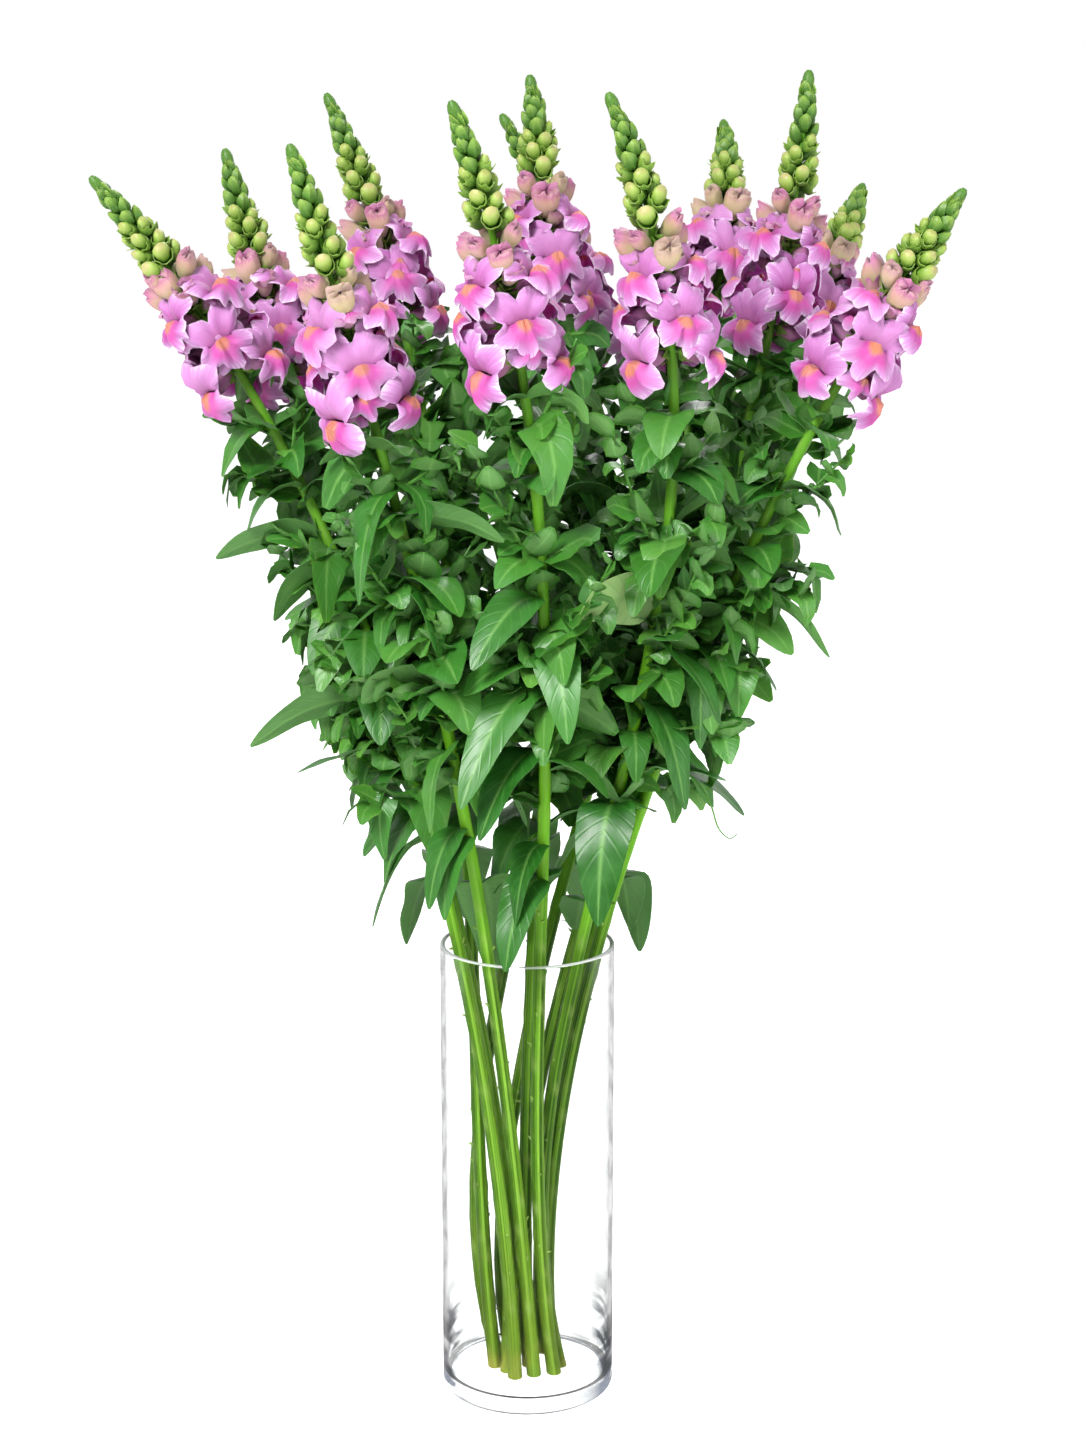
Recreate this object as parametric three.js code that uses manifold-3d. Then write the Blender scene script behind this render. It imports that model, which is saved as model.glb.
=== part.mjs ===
// Twelve cut snapdragons standing in a clear glass cylinder vase.
// Millimetres, +Z up, with the origin at the centre of the vase's foot.
import * as THREE from "three";
import { mergeVertices } from "three/addons/utils/BufferGeometryUtils.js";
import Module from "manifold-3d";

const wasm = await Module();
wasm.setup();

// The vase: a plain cylinder with a thick foot.
const VASE_HEIGHT = 300;
const VASE_RADIUS = 55.5;
const VASE_WALL = 3;
const VASE_BASE = 11;
const VASE_EDGE = 5;
const VASE_COVE = 4;
const VASE_SIDES = 32;
const ROUND = 1 - Math.SQRT1_2;

// The stems. Each is turned about the middle of the vase on its way up, so that together they
// cross as a spiral. A row gives the radius and azimuth at the rim and at the foot, then the
// place of the lowest floret and the tip of the spike.
const FLOOR = VASE_BASE + 0.5;
const STEMS = [
  { rim: [45.9, 201], foot: [21.6, 248], neck: [-173, -10, 660], tip: [-256, -30, 777] },
  { rim: [43.4, 168], foot: [16.9, 218], neck: [-150, 60, 655], tip: [-188, 70, 792] },
  { rim: [45.7, 238], foot: [16.8, 284], neck: [-90, -100, 650], tip: [-130, -130, 797] },
  { rim: [43.2, 147], foot: [21.6, 188], neck: [-80, 110, 680], tip: [-129, 130, 827] },
  { rim: [42.1, 281], foot: [21.6, 322], neck: [-3, -115, 675], tip: [-40, -150, 820] },
  { rim: [6.4, 56], foot: [2.2, 292], neck: [13, 55, 700], tip: [2, 60, 836] },
  { rim: [46, 102], foot: [21.4, 156], neck: [38, 165, 665], tip: [-18, 190, 815] },
  { rim: [43.8, 317], foot: [21, 354], neck: [84, -95, 676], tip: [46, -120, 825] },
  { rim: [45.6, 69], foot: [19.6, 124], neck: [124, 155, 695], tip: [130, 190, 808] },
  { rim: [45.6, 21], foot: [21.5, 61], neck: [150, 35, 682], tip: [172, 40, 840] },
  { rim: [45, 43], foot: [15, 90], neck: [177, 115, 671], tip: [218, 150, 767] },
  { rim: [45.9, 345], foot: [18.4, 28], neck: [185, -60, 662], tip: [250, -80, 770] },
];
const RIM_AT = 0.36;
const NECK_AT = 0.82;
const STEM_RADII = [[0, 4.6], [RIM_AT, 4.3], [NECK_AT, 3.0], [1, 1.2]];
const STEM_SIDES = 6;
const STEM_STEPS = 8;

// The head above the neck, by the share of its length: whorls of open florets, then whorls of
// large pale buds, then the spike of small green buds up to the tip. Each whorl is turned by
// half a step from the one below it.
const SLEEVE_SHARES = [-0.04, 0.23, 0.5];
const SLEEVE_WALL = 1.9;
const WHORL_SIZE = 3;
const OPEN_WHORLS = [
  { share: 0.02, elevation: -4, size: 1.04 },
  { share: 0.155, elevation: 14, size: 1 },
  { share: 0.285, elevation: 32, size: 0.92 },
];
const PALE_WHORLS = [
  { share: 0.37, elevation: 42, size: 1.12 },
  { share: 0.445, elevation: 46, size: 0.84 },
];
const STEM_END = 0.53;
const SPIKE_WHORLS = 8;
const SPIKE_BUDS = 3;
const SPIKE_REACH = [15.5, 6.5];
const SPIKE_LIFT = [12, 7];
const SPIKE_VALLEY = 0.45;
const SPIKE_GAP = { reach: 0.56, lift: 0.75 };
const SPIKE_TOP = { lastWhorl: 0.83, at: 0.9925, radius: 2.2 };
const GOLDEN_ANGLE = 137.508;

// A floret, measured along its tube from the root (forward) and round it. A lip point is the
// angle from the top, the distance from the tube's middle and the distance forward.
const ROOT_FREE = 5;
const TUBE = [[45, 3.8, 9], [135, 3.8, 9], [225, 3.8, 9], [315, 3.8, 9]];
const LIPS = [
  [0, 12.5, 23], [30, 20, 21], [80, 10.5, 22], [112, 18, 23], [148, 13.5, 26],
  [180, 20, 22], [212, 13.5, 26], [248, 18, 23], [280, 10.5, 22], [330, 20, 21],
];
const THROAT = [[0, 5, 18], [125, 8.5, 27], [235, 8.5, 27]];
const PALATE = [180, 4, 29];
const PALE_BELLY = [[45, 6.6, 9], [135, 6, 10.5], [225, 6, 10.5], [315, 6.6, 9]];
const PALE_TIP = [180, 1.5, 19];

// Leaves. The named ones are the large leaves that stand clear of the rest: the stem that they
// grow on, the height of the root, the tip, half the width, and the turn about the midrib.
const NAMED_LEAVES = [
  [8, 402, [43, -78, 334], 17, 0],
  [5, 355, [-14, -84, 308], 13, 0],
  [1, 370, [-96, -45, 324], 14, -25],
  [3, 387, [-60, -72, 343], 12, 0],
  [1, 417, [-98, -35, 376], 12, -20],
  [8, 466, [95, -92, 410], 14, 20],
  [5, 478, [-38, -112, 414], 14, 0],
  [5, 439, [-28, -104, 394], 15, 0],
  [1, 470, [-89, -50, 441], 15, 0],
  [1, 457, [-172, -25, 435], 11, -40],
  [1, 422, [-142, -30, 419], 11, -40],
  [1, 560, [-191, -12, 549], 11, -40],
  [1, 539, [-156, -25, 514], 14, -40],
  [3, 533, [-115, -100, 504], 8, -30],
  [3, 597, [-97, -120, 540], 12, 0],
  [3, 582, [-11, -118, 576], 12, 30],
  [3, 538, [-50, -105, 505], 15, 10],
  [5, 535, [-31, -118, 499], 14, 0],
  [12, 532, [183, -60, 497], 9, 35],
  [12, 502, [152, -55, 476], 11, 35],
  [10, 491, [147, 0, 463], 11, 30],
  [5, 504, [25, -115, 456], 13, 0],
  [5, 432, [40, -110, 421], 16, 10],
  [8, 530, [30, -105, 531], 15, -30],
  [8, 501, [116, -95, 463], 13, 25],
  [12, 493, [104, -75, 445], 12, 10],
];

// The rest of the leaves, in pairs of values for the lowest and the highest on a stem. A leaf's
// crown, where its curve is drawn up to, is a share of its length out from the root and up.
const LEAVES = 5;
const LEAF_HEIGHTS = [335, 520];
const LEAF_LENGTHS = [64, 52];
const LEAF_ELEVATIONS = [-42, -5];
const LEAF_WIDTHS = [0.21, 0.27];
const LEAF_THICKNESS = 1.4;
const LEAF_FOLD = 0.28;
const LEAF_CROWN = { out: 0.36, up: 0.16 };
const LEAF_STATIONS = [[0.34, 1], [0.72, 0.7]];
const LENGTH_RANGE = [0.85, 1.12];
const ELEVATION_SPREAD = 50;

// Tufts: whorls of smaller leaves up the rest of the stem. Each is a thin star drawn out of the
// stem's own surface, with a leaf at every second corner of the stem.
const TUFTS = 6;
const TUFTS_FROM = 430;
const TUFTS_TO_SHARE = -0.13;
const TUFT_LENGTHS = [54, 38];
const TUFT_ELEVATIONS = [-24, 8];
const TUFT_HALF_THICKNESS = 2.2;
const TUFT_NOTCH = 1.5;
const TUFT_SHOULDER = 0.45;
const TUFT_SPREAD = 24;
const TUFT_ARCH = 0.25;

// What is tried in turn to keep a leaf, a tuft or a bloom clear of the rest: a turn aside, a
// lift, both in degrees, and a change of size.
const BENDS = [
  [0, 0, 1], [12, 0, 1], [-12, 0, 1], [0, -14, 1], [0, 14, 1], [24, 0, 1], [-24, 0, 1],
  [24, -20, 1], [-24, -20, 1], [40, 10, 1], [-40, 10, 1], [0, -30, 1], [60, 0, 1], [-60, 0, 1],
  [0, 0, 0.82], [30, 10, 0.82], [-30, 10, 0.82], [60, 0, 0.82], [-60, 0, 0.82], [0, 25, 0.82],
  [90, 0, 0.75], [-90, 0, 0.75], [130, 0, 0.75], [-130, 0, 0.75], [20, 20, 0.65], [50, -10, 0.65],
];
const TUFT_BENDS = [
  [0, 0, 1], [8, 0, 1], [-8, 0, 1], [0, 14, 1], [0, -14, 1], [0, 28, 1], [8, -14, 1], [-8, 14, 1],
  [0, 0, 0.8], [8, 20, 0.8], [-8, -20, 0.8], [0, 35, 0.8], [0, 0, 0.62], [0, 25, 0.62],
  [0, -25, 0.62], [0, 40, 0.62], [0, 0, 0.48], [0, 30, 0.48], [0, 45, 0.4],
];
const FLORET_TURNS = [
  [0, 0, 1], [14, 0, 1], [-14, 0, 1], [0, 12, 1], [0, -12, 1], [28, 0, 1], [-28, 0, 1],
  [0, 28, 1], [30, 25, 1], [-30, 25, 1],
];
const CLEARANCE = 0.35;

const UP = new THREE.Vector3(0, 0, 1);
const EAST = new THREE.Vector3(1, 0, 0);

const radians = THREE.MathUtils.degToRad;
const mix = THREE.MathUtils.lerp;

/** The stem's parameter at a share of the way from its neck to its tip. */
const spikeAt = (share) => mix(NECK_AT, 1, share);

/** A repeatable source of numbers from 0 to 1. */
function seeded(seed) {
  let state = seed >>> 0;
  return () => {
    state = (Math.imul(state, 1664525) + 1013904223) >>> 0;
    return state / 4294967296;
  };
}

/** A number spread evenly about zero. */
const spread = (random, width) => (random() - 0.5) * width;

/** The value at x on a line through [x, value] pairs. */
function along(pairs, x) {
  const next = Math.max(1, pairs.findIndex((pair) => pair[0] >= x));
  const [from, low] = pairs[next - 1];
  const [to, high] = pairs[next];
  return mix(low, high, (x - from) / (to - from));
}

function polar(radius, azimuth, height) {
  const turn = radians(azimuth);
  return new THREE.Vector3(radius * Math.cos(turn), radius * Math.sin(turn), height);
}

/** The centre line of a stem: the cubic through its foot, the rim, its neck and its tip. */
class StemCurve extends THREE.Curve {
  constructor({ rim, foot, neck, tip }) {
    super();
    this.knots = [0, RIM_AT, NECK_AT, 1];
    this.points = [
      polar(...foot, FLOOR),
      polar(...rim, VASE_HEIGHT),
      new THREE.Vector3(...neck),
      new THREE.Vector3(...tip),
    ];
    this.start = rim[1];
    this.length = this.points[3].z - this.points[0].z;
  }

  getPoint(u, target = new THREE.Vector3()) {
    target.set(0, 0, 0);
    this.points.forEach((point, i) => {
      const others = this.knots.filter((_, j) => j !== i);
      const weight = others.reduce((w, knot) => (w * (u - knot)) / (this.knots[i] - knot), 1);
      target.addScaledVector(point, weight);
    });
    return target;
  }

  /** The parameter at which the centre line reaches a height. */
  atHeight(height) {
    let low = 0;
    let high = 1;
    for (let i = 0; i < 40; i += 1) {
      const middle = (low + high) / 2;
      if (this.getPoint(middle).z < height) low = middle;
      else high = middle;
    }
    return (low + high) / 2;
  }

  /** Centre, direction and two side axes at a parameter. */
  frame(u) {
    const step = 0.002;
    const centre = this.getPoint(u);
    const ahead = this.getPoint(u + step).sub(this.getPoint(u - step)).normalize();
    const side = EAST.clone().addScaledVector(ahead, -EAST.dot(ahead)).normalize();
    return { centre, ahead, side, front: ahead.clone().cross(side) };
  }
}

/** Points round a frame: one for each [angle in degrees, radius, distance forward]. */
function ring({ centre, ahead, side, front }, spots) {
  return spots.map(([angle, radius, forward = 0]) => {
    const turn = radians(angle);
    return centre.clone()
      .addScaledVector(side, radius * Math.cos(turn))
      .addScaledVector(front, radius * Math.sin(turn))
      .addScaledVector(ahead, forward);
  });
}

function evenSpots(count, radius, start = 0) {
  return Array.from({ length: count }, (_, i) => [start + (360 * i) / count, radius]);
}

/** The triangles between one ring of points and the next, each ring given by its indices. */
function stitch(first, second) {
  const [a, b] = [first.length, second.length];
  const faces = [];
  let i = 0;
  let j = 0;
  while (i + j < a + b) {
    if (i < a && (j === b || (i + 1) * b <= (j + 1) * a)) {
      if (a > 1) faces.push([first[i], first[(i + 1) % a], second[j % b]]);
      i += 1;
    } else {
      if (b > 1) faces.push([first[i % a], second[(j + 1) % b], second[j]]);
      j += 1;
    }
  }
  return faces;
}

/** A fan across a flat ring; a ring of one point needs none. */
const cap = (ids) => ids.slice(2).map((id, i) => [ids[0], ids[i + 1], id]);

/** A closed surface through rings of points. A looped one joins its last ring to its first. */
function loft(rings, looped = false) {
  let count = 0;
  const ids = rings.map((points) => points.map(() => count++));
  const pairs = looped ? ids.length : ids.length - 1;
  const faces = ids.slice(0, pairs).flatMap((ring, i) => stitch(ring, ids[(i + 1) % ids.length]));
  if (!looped) faces.push(...cap(ids[0].toReversed()), ...cap(ids.at(-1)));
  const geometry = new THREE.BufferGeometry().setFromPoints(rings.flat());
  geometry.setIndex(faces.flat());
  return geometry;
}

/** A solid from a closed geometry, turned inside out if its faces point inwards. */
function solid(geometry) {
  const bare = geometry.clone();
  bare.deleteAttribute("normal");
  bare.deleteAttribute("uv");
  const merged = mergeVertices(bare, 1e-4);
  const vertices = merged.attributes.position.array;
  const index = merged.index.array;
  const corner = (i) => new THREE.Vector3().fromArray(vertices, index[i] * 3);
  const triangles = [];
  let volume = 0;
  for (let i = 0; i < index.length; i += 3) {
    const [a, b, c] = index.slice(i, i + 3);
    if (a !== b && b !== c && c !== a) {
      triangles.push([a, b, c]);
      volume += corner(i).dot(corner(i + 1).cross(corner(i + 2)));
    }
  }
  if (volume < 0) triangles.forEach((triangle) => triangle.reverse());
  return new wasm.Manifold(new wasm.Mesh({
    numProp: 3,
    vertProperties: Float32Array.from(vertices),
    triVerts: Uint32Array.from(triangles.flat()),
  }));
}

const loftSolid = (rings, looped) => solid(loft(rings, looped));

/** One solid from many that grow from the same core, without loose scraps. */
function fuse(solids) {
  const whole = solids.reduce((sum, next) => sum.add(next));
  const pieces = whole.decompose();
  return pieces.reduce((best, next) => (next.volume() > best.volume() ? next : best));
}

/** Solids that are already in place, each with the name of the node it belongs to. */
const placed = [];

function place(body, owner) {
  placed.push({ body, owner, box: body.boundingBox() });
}

function isClear(body, owners) {
  const box = body.boundingBox();
  const apart = (other) => [0, 1, 2].some((axis) => (
    box.min[axis] > other.max[axis] || other.min[axis] > box.max[axis]));
  return placed.every((other) => (
    owners.includes(other.owner) || apart(other.box) || body.intersect(other.body).isEmpty()));
}

/** The first of several choices whose solid, swollen by the clearance, crosses nothing. */
const firstClear = (choices, shape, owners) => (
  choices.find((choice) => isClear(shape(choice, CLEARANCE), owners)));

function vaseGeometry() {
  const inner = VASE_RADIUS - VASE_WALL;
  const lip = VASE_WALL / 3;
  const profile = [
    [0, 0],
    [VASE_RADIUS - VASE_EDGE, 0],
    [VASE_RADIUS - VASE_EDGE * ROUND, VASE_EDGE * ROUND],
    [VASE_RADIUS, VASE_EDGE],
    [VASE_RADIUS, VASE_HEIGHT - lip],
    [VASE_RADIUS - lip, VASE_HEIGHT],
    [inner + lip, VASE_HEIGHT],
    [inner, VASE_HEIGHT - lip],
    [inner, VASE_BASE + VASE_COVE],
    [inner - VASE_COVE * ROUND, VASE_BASE + VASE_COVE * ROUND],
    [inner - VASE_COVE, VASE_BASE],
    [0, VASE_BASE],
  ];
  const points = profile.map(([radius, height]) => new THREE.Vector2(radius, height));
  return new THREE.LatheGeometry(points, VASE_SIDES).rotateX(Math.PI / 2);
}

/** A ring round the stem; the one at the foot lies level on the vase's floor. */
function stemRing(curve, u, extra = 0) {
  const frame = curve.frame(u);
  if (u === 0) Object.assign(frame, { ahead: UP, side: EAST, front: UP.clone().cross(EAST) });
  return ring(frame, evenSpots(STEM_SIDES, along(STEM_RADII, u) + extra, curve.start));
}

/** The stem from its foot to inside the pale buds, with its tufts drawn out of it. */
function stemSolid(curve, tufts = []) {
  const first = curve.atHeight(TUFTS_FROM) - 0.01;
  const steps = Array.from({ length: STEM_STEPS }, (_, i) => (first * i) / (STEM_STEPS - 1));
  const head = [...SLEEVE_SHARES, STEM_END].map(spikeAt);
  const plain = (u) => stemRing(curve, u);
  const stars = tufts.flatMap((tuft) => [
    plain(tuft.u - TUFT_HALF_THICKNESS / curve.length),
    ring(curve.frame(tuft.u), tuftOutline(curve, tuft, tuft.bend)),
    plain(tuft.u + TUFT_HALF_THICKNESS / curve.length),
  ]);
  return loftSolid([...steps.map(plain), ...stars, ...head.map(plain)]);
}

/** The sleeve that carries the florets, clear of the stem all round. */
function sleeveSolid(curve) {
  const rings = (extra) => SLEEVE_SHARES.map((share) => stemRing(curve, spikeAt(share), extra));
  return loftSolid([...rings(CLEARANCE + SLEEVE_WALL), ...rings(CLEARANCE).reverse()], true);
}

/** The frame of a thing that grows out of the sleeve: ahead points outwards, front upwards. */
function branch(curve, u, azimuth, elevation) {
  const stem = curve.frame(u);
  const out = stem.side.clone().multiplyScalar(Math.cos(radians(azimuth)))
    .addScaledVector(stem.front, Math.sin(radians(azimuth)));
  const ahead = out.clone().multiplyScalar(Math.cos(radians(elevation)))
    .addScaledVector(stem.ahead, Math.sin(radians(elevation)));
  const side = ahead.clone().cross(stem.ahead).normalize();
  const sunk = along(STEM_RADII, u) + CLEARANCE + SLEEVE_WALL * 0.3;
  const centre = stem.centre.clone().addScaledVector(out, sunk);
  return { centre, ahead, side, front: side.clone().cross(ahead) };
}

/** A bloom through rings of spots, with its root sunk in the sleeve; a trial one is clear of it. */
function bloomSolid(frame, outline, size, extra) {
  const root = [[0, 0, extra ? ROOT_FREE : 0]];
  const spots = [root, ...outline].map((row) => row.map(([angle, radius, forward]) => (
    [90 - angle, radius * size + extra, forward * size + extra])));
  return loftSolid(spots.map((row) => ring(frame, row)));
}

/** The pink head: a sleeve on the stem with the florets and the pale buds growing from it. */
function buildFlorets(curve, number, random) {
  const name = nodeName("florets", number);
  const parts = [sleeveSolid(curve)];
  const start = random() * 360;
  const whorls = [
    ...OPEN_WHORLS.map((whorl) => ({ ...whorl, outline: [TUBE, LIPS, THROAT, [PALATE]] })),
    ...PALE_WHORLS.map((whorl) => ({ ...whorl, outline: [PALE_BELLY, [PALE_TIP]] })),
  ];
  whorls.forEach(({ share, elevation, size, outline }, i) => {
    for (let j = 0; j < WHORL_SIZE; j += 1) {
      const azimuth = start + ((j + i / 2) * 360) / WHORL_SIZE + spread(random, 14);
      const at = spikeAt(share + spread(random, 0.03));
      const lift = elevation + spread(random, 10);
      const scale = size * mix(0.95, 1.05, random());
      const choose = ([turn, rise, shrink], extra) => {
        const frame = branch(curve, at, azimuth + turn, lift + rise);
        return bloomSolid(frame, outline, scale * shrink, extra);
      };
      const clear = firstClear(FLORET_TURNS, choose, []) ?? firstClear(FLORET_TURNS, choose, [name]);
      const body = choose(clear, 0);
      place(body, name);
      parts.push(body);
    }
  });
  return fuse(parts);
}

/** The green top: whorls of buds that shrink towards the tip, each turned by half a step. */
function buildSpike(curve, number) {
  const from = spikeAt(STEM_END) + 0.003;
  const rings = [];
  const points = SPIKE_BUDS * 2;
  for (let i = 0; i < SPIKE_WHORLS; i += 1) {
    const t = SPIKE_TOP.lastWhorl * (i / (SPIKE_WHORLS - 1)) ** 0.9;
    const reach = mix(...SPIKE_REACH, t ** 0.9);
    const lift = mix(...SPIKE_LIFT, t);
    const whorl = curve.frame(mix(from, 1, t));
    rings.push(ring(whorl, evenSpots(points, reach * SPIKE_VALLEY)));
    const star = evenSpots(points, reach).map(([angle, radius], j) => (
      (i + j) % 2 ? [angle, radius * SPIKE_GAP.reach, lift * SPIKE_GAP.lift] : [angle, radius, lift]));
    rings.push(ring(whorl, star));
  }
  rings.push(ring(curve.frame(SPIKE_TOP.at), evenSpots(points, SPIKE_TOP.radius)));
  rings.push([curve.getPoint(1)]);
  const body = loftSolid(rings);
  place(body, nodeName("buds", number));
  return body;
}

/**
 * A leaf from its root to its tip: a blade folded along the midrib, on a curve that leaves the
 * stem outwards and upwards and then droops.
 */
function leafSolid({ root, tip, halfWidth, roll }, extra) {
  const reach = tip.clone().sub(root);
  const length = reach.length();
  const out = new THREE.Vector3(reach.x, reach.y, 0).normalize();
  const crown = root.clone()
    .addScaledVector(out, LEAF_CROWN.out * length)
    .addScaledVector(UP, LEAF_CROWN.up * length);
  const spine = new THREE.QuadraticBezierCurve3(root, crown, tip);
  const across = UP.clone().cross(out);
  const rings = LEAF_STATIONS.map(([t, share]) => {
    const centre = spine.getPoint(t);
    const ahead = spine.getTangent(t);
    const side = across.clone().applyAxisAngle(ahead, -radians(roll));
    const face = ahead.clone().cross(side);
    const width = halfWidth * share + extra;
    const rise = halfWidth * share * LEAF_FOLD;
    const half = LEAF_THICKNESS / 2 + extra;
    return [
      centre.clone().addScaledVector(side, width).addScaledVector(face, rise),
      centre.clone().addScaledVector(face, half),
      centre.clone().addScaledVector(side, -width).addScaledVector(face, rise),
      centre.clone().addScaledVector(face, -half),
    ];
  });
  return loftSolid([[root], ...rings, [tip]]);
}

/** The same leaf bent aside: turned about the upright through its root, and raised. */
function bentLeaf(leaf, [turn, lift, size]) {
  const reach = leaf.tip.clone().sub(leaf.root);
  const level = Math.hypot(reach.x, reach.y);
  const azimuth = Math.atan2(reach.y, reach.x) + radians(turn);
  const elevation = Math.atan2(reach.z, level) + radians(lift);
  const length = reach.length() * size;
  const tip = leaf.root.clone().add(new THREE.Vector3(
    length * Math.cos(elevation) * Math.cos(azimuth),
    length * Math.cos(elevation) * Math.sin(azimuth),
    length * Math.sin(elevation),
  ));
  return { ...leaf, tip, halfWidth: leaf.halfWidth * size };
}

/** The outline of a tuft round its frame: leaf tips with shoulders, and notches between them. */
function tuftOutline(curve, { u, turned, blades }, [turn, lift, size], extra = 0) {
  const notch = along(STEM_RADII, u) + TUFT_NOTCH + extra;
  const first = curve.start + (turned ? 180 / blades.length : 0);
  const spot = (i, aside, share) => {
    const { length, elevation } = blades[i % blades.length];
    const reach = (length * size + extra) * share;
    const arch = share < 1 ? TUFT_ARCH * reach : 0;
    const rise = radians(elevation + lift);
    const angle = first + (i * 360) / blades.length + turn + aside;
    return [angle, reach * Math.cos(rise), reach * Math.sin(rise) + arch];
  };
  const outline = blades.flatMap((_, i) => [
    spot(i, 0, 1),
    spot(i, TUFT_SPREAD, TUFT_SHOULDER),
    [first + ((i + 0.5) * 360) / blades.length, notch, 0],
    spot(i + 1, -TUFT_SPREAD, TUFT_SHOULDER),
  ]);
  return turned ? [...outline.slice(-2), ...outline.slice(0, -2)] : outline;
}

/** A tuft by itself, swollen, to try whether there is room for it. */
function tuftSolid(curve, tuft, bend, extra) {
  const frame = curve.frame(tuft.u);
  const half = TUFT_HALF_THICKNESS + extra;
  return loftSolid([
    ring(frame, [[0, 0, -half]]),
    ring(frame, tuftOutline(curve, tuft, bend, extra)),
    ring(frame, [[0, 0, half]]),
  ]);
}

/** The single leaves of one stem: its named ones, then the rest up a spiral. */
function leavesOf(curve, number, random) {
  const leaves = [];
  const rootAt = (height) => curve.getPoint(curve.atHeight(height));
  for (const [stem, height, tip, halfWidth, roll] of NAMED_LEAVES) {
    if (stem === number) {
      leaves.push({ root: rootAt(height), tip: new THREE.Vector3(...tip), halfWidth, roll });
    }
  }
  const start = random() * 360;
  for (let i = 0; i < LEAVES; i += 1) {
    const t = (i + random() * 0.7) / LEAVES;
    const root = rootAt(mix(...LEAF_HEIGHTS, t));
    const length = mix(...LEAF_LENGTHS, t) * mix(...LENGTH_RANGE, random());
    const azimuth = start + i * GOLDEN_ANGLE + spread(random, 30);
    const elevation = radians(mix(...LEAF_ELEVATIONS, t) + spread(random, ELEVATION_SPREAD));
    const reach = polar(length * Math.cos(elevation), azimuth, length * Math.sin(elevation));
    const halfWidth = length * mix(...LEAF_WIDTHS, random());
    leaves.push({ root, tip: root.clone().add(reach), halfWidth, roll: spread(random, 40) });
  }
  return leaves;
}

/** The tufts of one stem, from among the large leaves up to the lowest florets. */
function tuftsOf(curve, random) {
  const top = curve.getPoint(spikeAt(TUFTS_TO_SHARE)).z;
  return Array.from({ length: TUFTS }, (_, i) => {
    const t = (i + random() * 0.4) / (TUFTS - 0.6);
    const u = curve.atHeight(mix(TUFTS_FROM, top, t));
    const blades = Array.from({ length: STEM_SIDES / 2 }, () => ({
      length: mix(...TUFT_LENGTHS, t) * mix(...LENGTH_RANGE, random()),
      elevation: mix(...TUFT_ELEVATIONS, t) + spread(random, ELEVATION_SPREAD),
    }));
    return { u, turned: i % 2 === 1, blades };
  });
}

function nodeName(kind, number) {
  return `${kind}_${String(number).padStart(2, "0")}`;
}

function meshOf(name, body, material) {
  const { vertProperties, triVerts } = body.getMesh();
  const geometry = new THREE.BufferGeometry();
  geometry.setAttribute("position", new THREE.BufferAttribute(vertProperties.slice(), 3));
  geometry.setIndex(new THREE.BufferAttribute(triVerts.slice(), 1));
  geometry.computeVertexNormals();
  const mesh = new THREE.Mesh(geometry, material);
  mesh.name = name;
  return mesh;
}

const glass = () => new THREE.MeshStandardMaterial({
  color: 0xeef4f3, roughness: 0.03, metalness: 0, transparent: true, opacity: 0.35,
});
const foliage = () => new THREE.MeshStandardMaterial({ color: 0x43742b, roughness: 0.45, metalness: 0 });
const petals = () => new THREE.MeshStandardMaterial({ color: 0xcf8ab9, roughness: 0.6, metalness: 0 });
const greenBuds = () => new THREE.MeshStandardMaterial({ color: 0x7e9e49, roughness: 0.55, metalness: 0 });

const arrangement = new THREE.Group();
const vase = vaseGeometry();
place(solid(vase), "vase");
const vaseMesh = new THREE.Mesh(vase, glass());
vaseMesh.name = "vase";
arrangement.add(vaseMesh);

const stems = STEMS.map((row, i) => {
  const number = i + 1;
  const curve = new StemCurve(row);
  place(stemSolid(curve), nodeName("stem", number));
  return { number, curve };
});
for (const stem of stems) stem.spike = buildSpike(stem.curve, stem.number);
for (const stem of stems) {
  stem.florets = buildFlorets(stem.curve, stem.number, seeded(100 + stem.number));
}

/** Places a leaf or a tuft by the first bend that has room for it, and gives that bend. */
function settle(stem, bends, shape) {
  const bend = firstClear(bends, shape, [stem.name]);
  if (bend) place(shape(bend, 0), `${stem.name} leaf`);
  return bend;
}

// Leaves go on in turns, one for each stem, so that all stems get their share of the room. What
// finds no room is left off.
for (const stem of stems) {
  const random = seeded(stem.number);
  stem.name = nodeName("stem", stem.number);
  stem.leaves = leavesOf(stem.curve, stem.number, random);
  stem.tufts = tuftsOf(stem.curve, random);
}
const mostLeaves = Math.max(...stems.map(({ leaves }) => leaves.length));
for (let turn = 0; turn < mostLeaves; turn += 1) {
  for (const stem of stems.filter(({ leaves }) => turn < leaves.length)) {
    const leaf = stem.leaves[turn];
    leaf.bend = settle(stem, BENDS, (bend, extra) => leafSolid(bentLeaf(leaf, bend), extra));
  }
}
for (let turn = 0; turn < TUFTS; turn += 1) {
  for (const stem of stems) {
    const tuft = stem.tufts[turn];
    const shape = (bend, extra) => tuftSolid(stem.curve, tuft, bend, extra);
    tuft.bend = settle(stem, TUFT_BENDS, shape);
  }
}
for (const stem of stems) {
  const tufts = stem.tufts.filter(({ bend }) => bend);
  const leaves = stem.leaves.filter(({ bend }) => bend);
  stem.body = fuse([
    stemSolid(stem.curve, tufts),
    ...leaves.map((leaf) => leafSolid(bentLeaf(leaf, leaf.bend), 0)),
  ]);
}

for (const stem of stems) {
  arrangement.add(meshOf(stem.name, stem.body, foliage()));
  arrangement.add(meshOf(nodeName("florets", stem.number), stem.florets, petals()));
  arrangement.add(meshOf(nodeName("buds", stem.number), stem.spike, greenBuds()));
}

export default arrangement;
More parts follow.
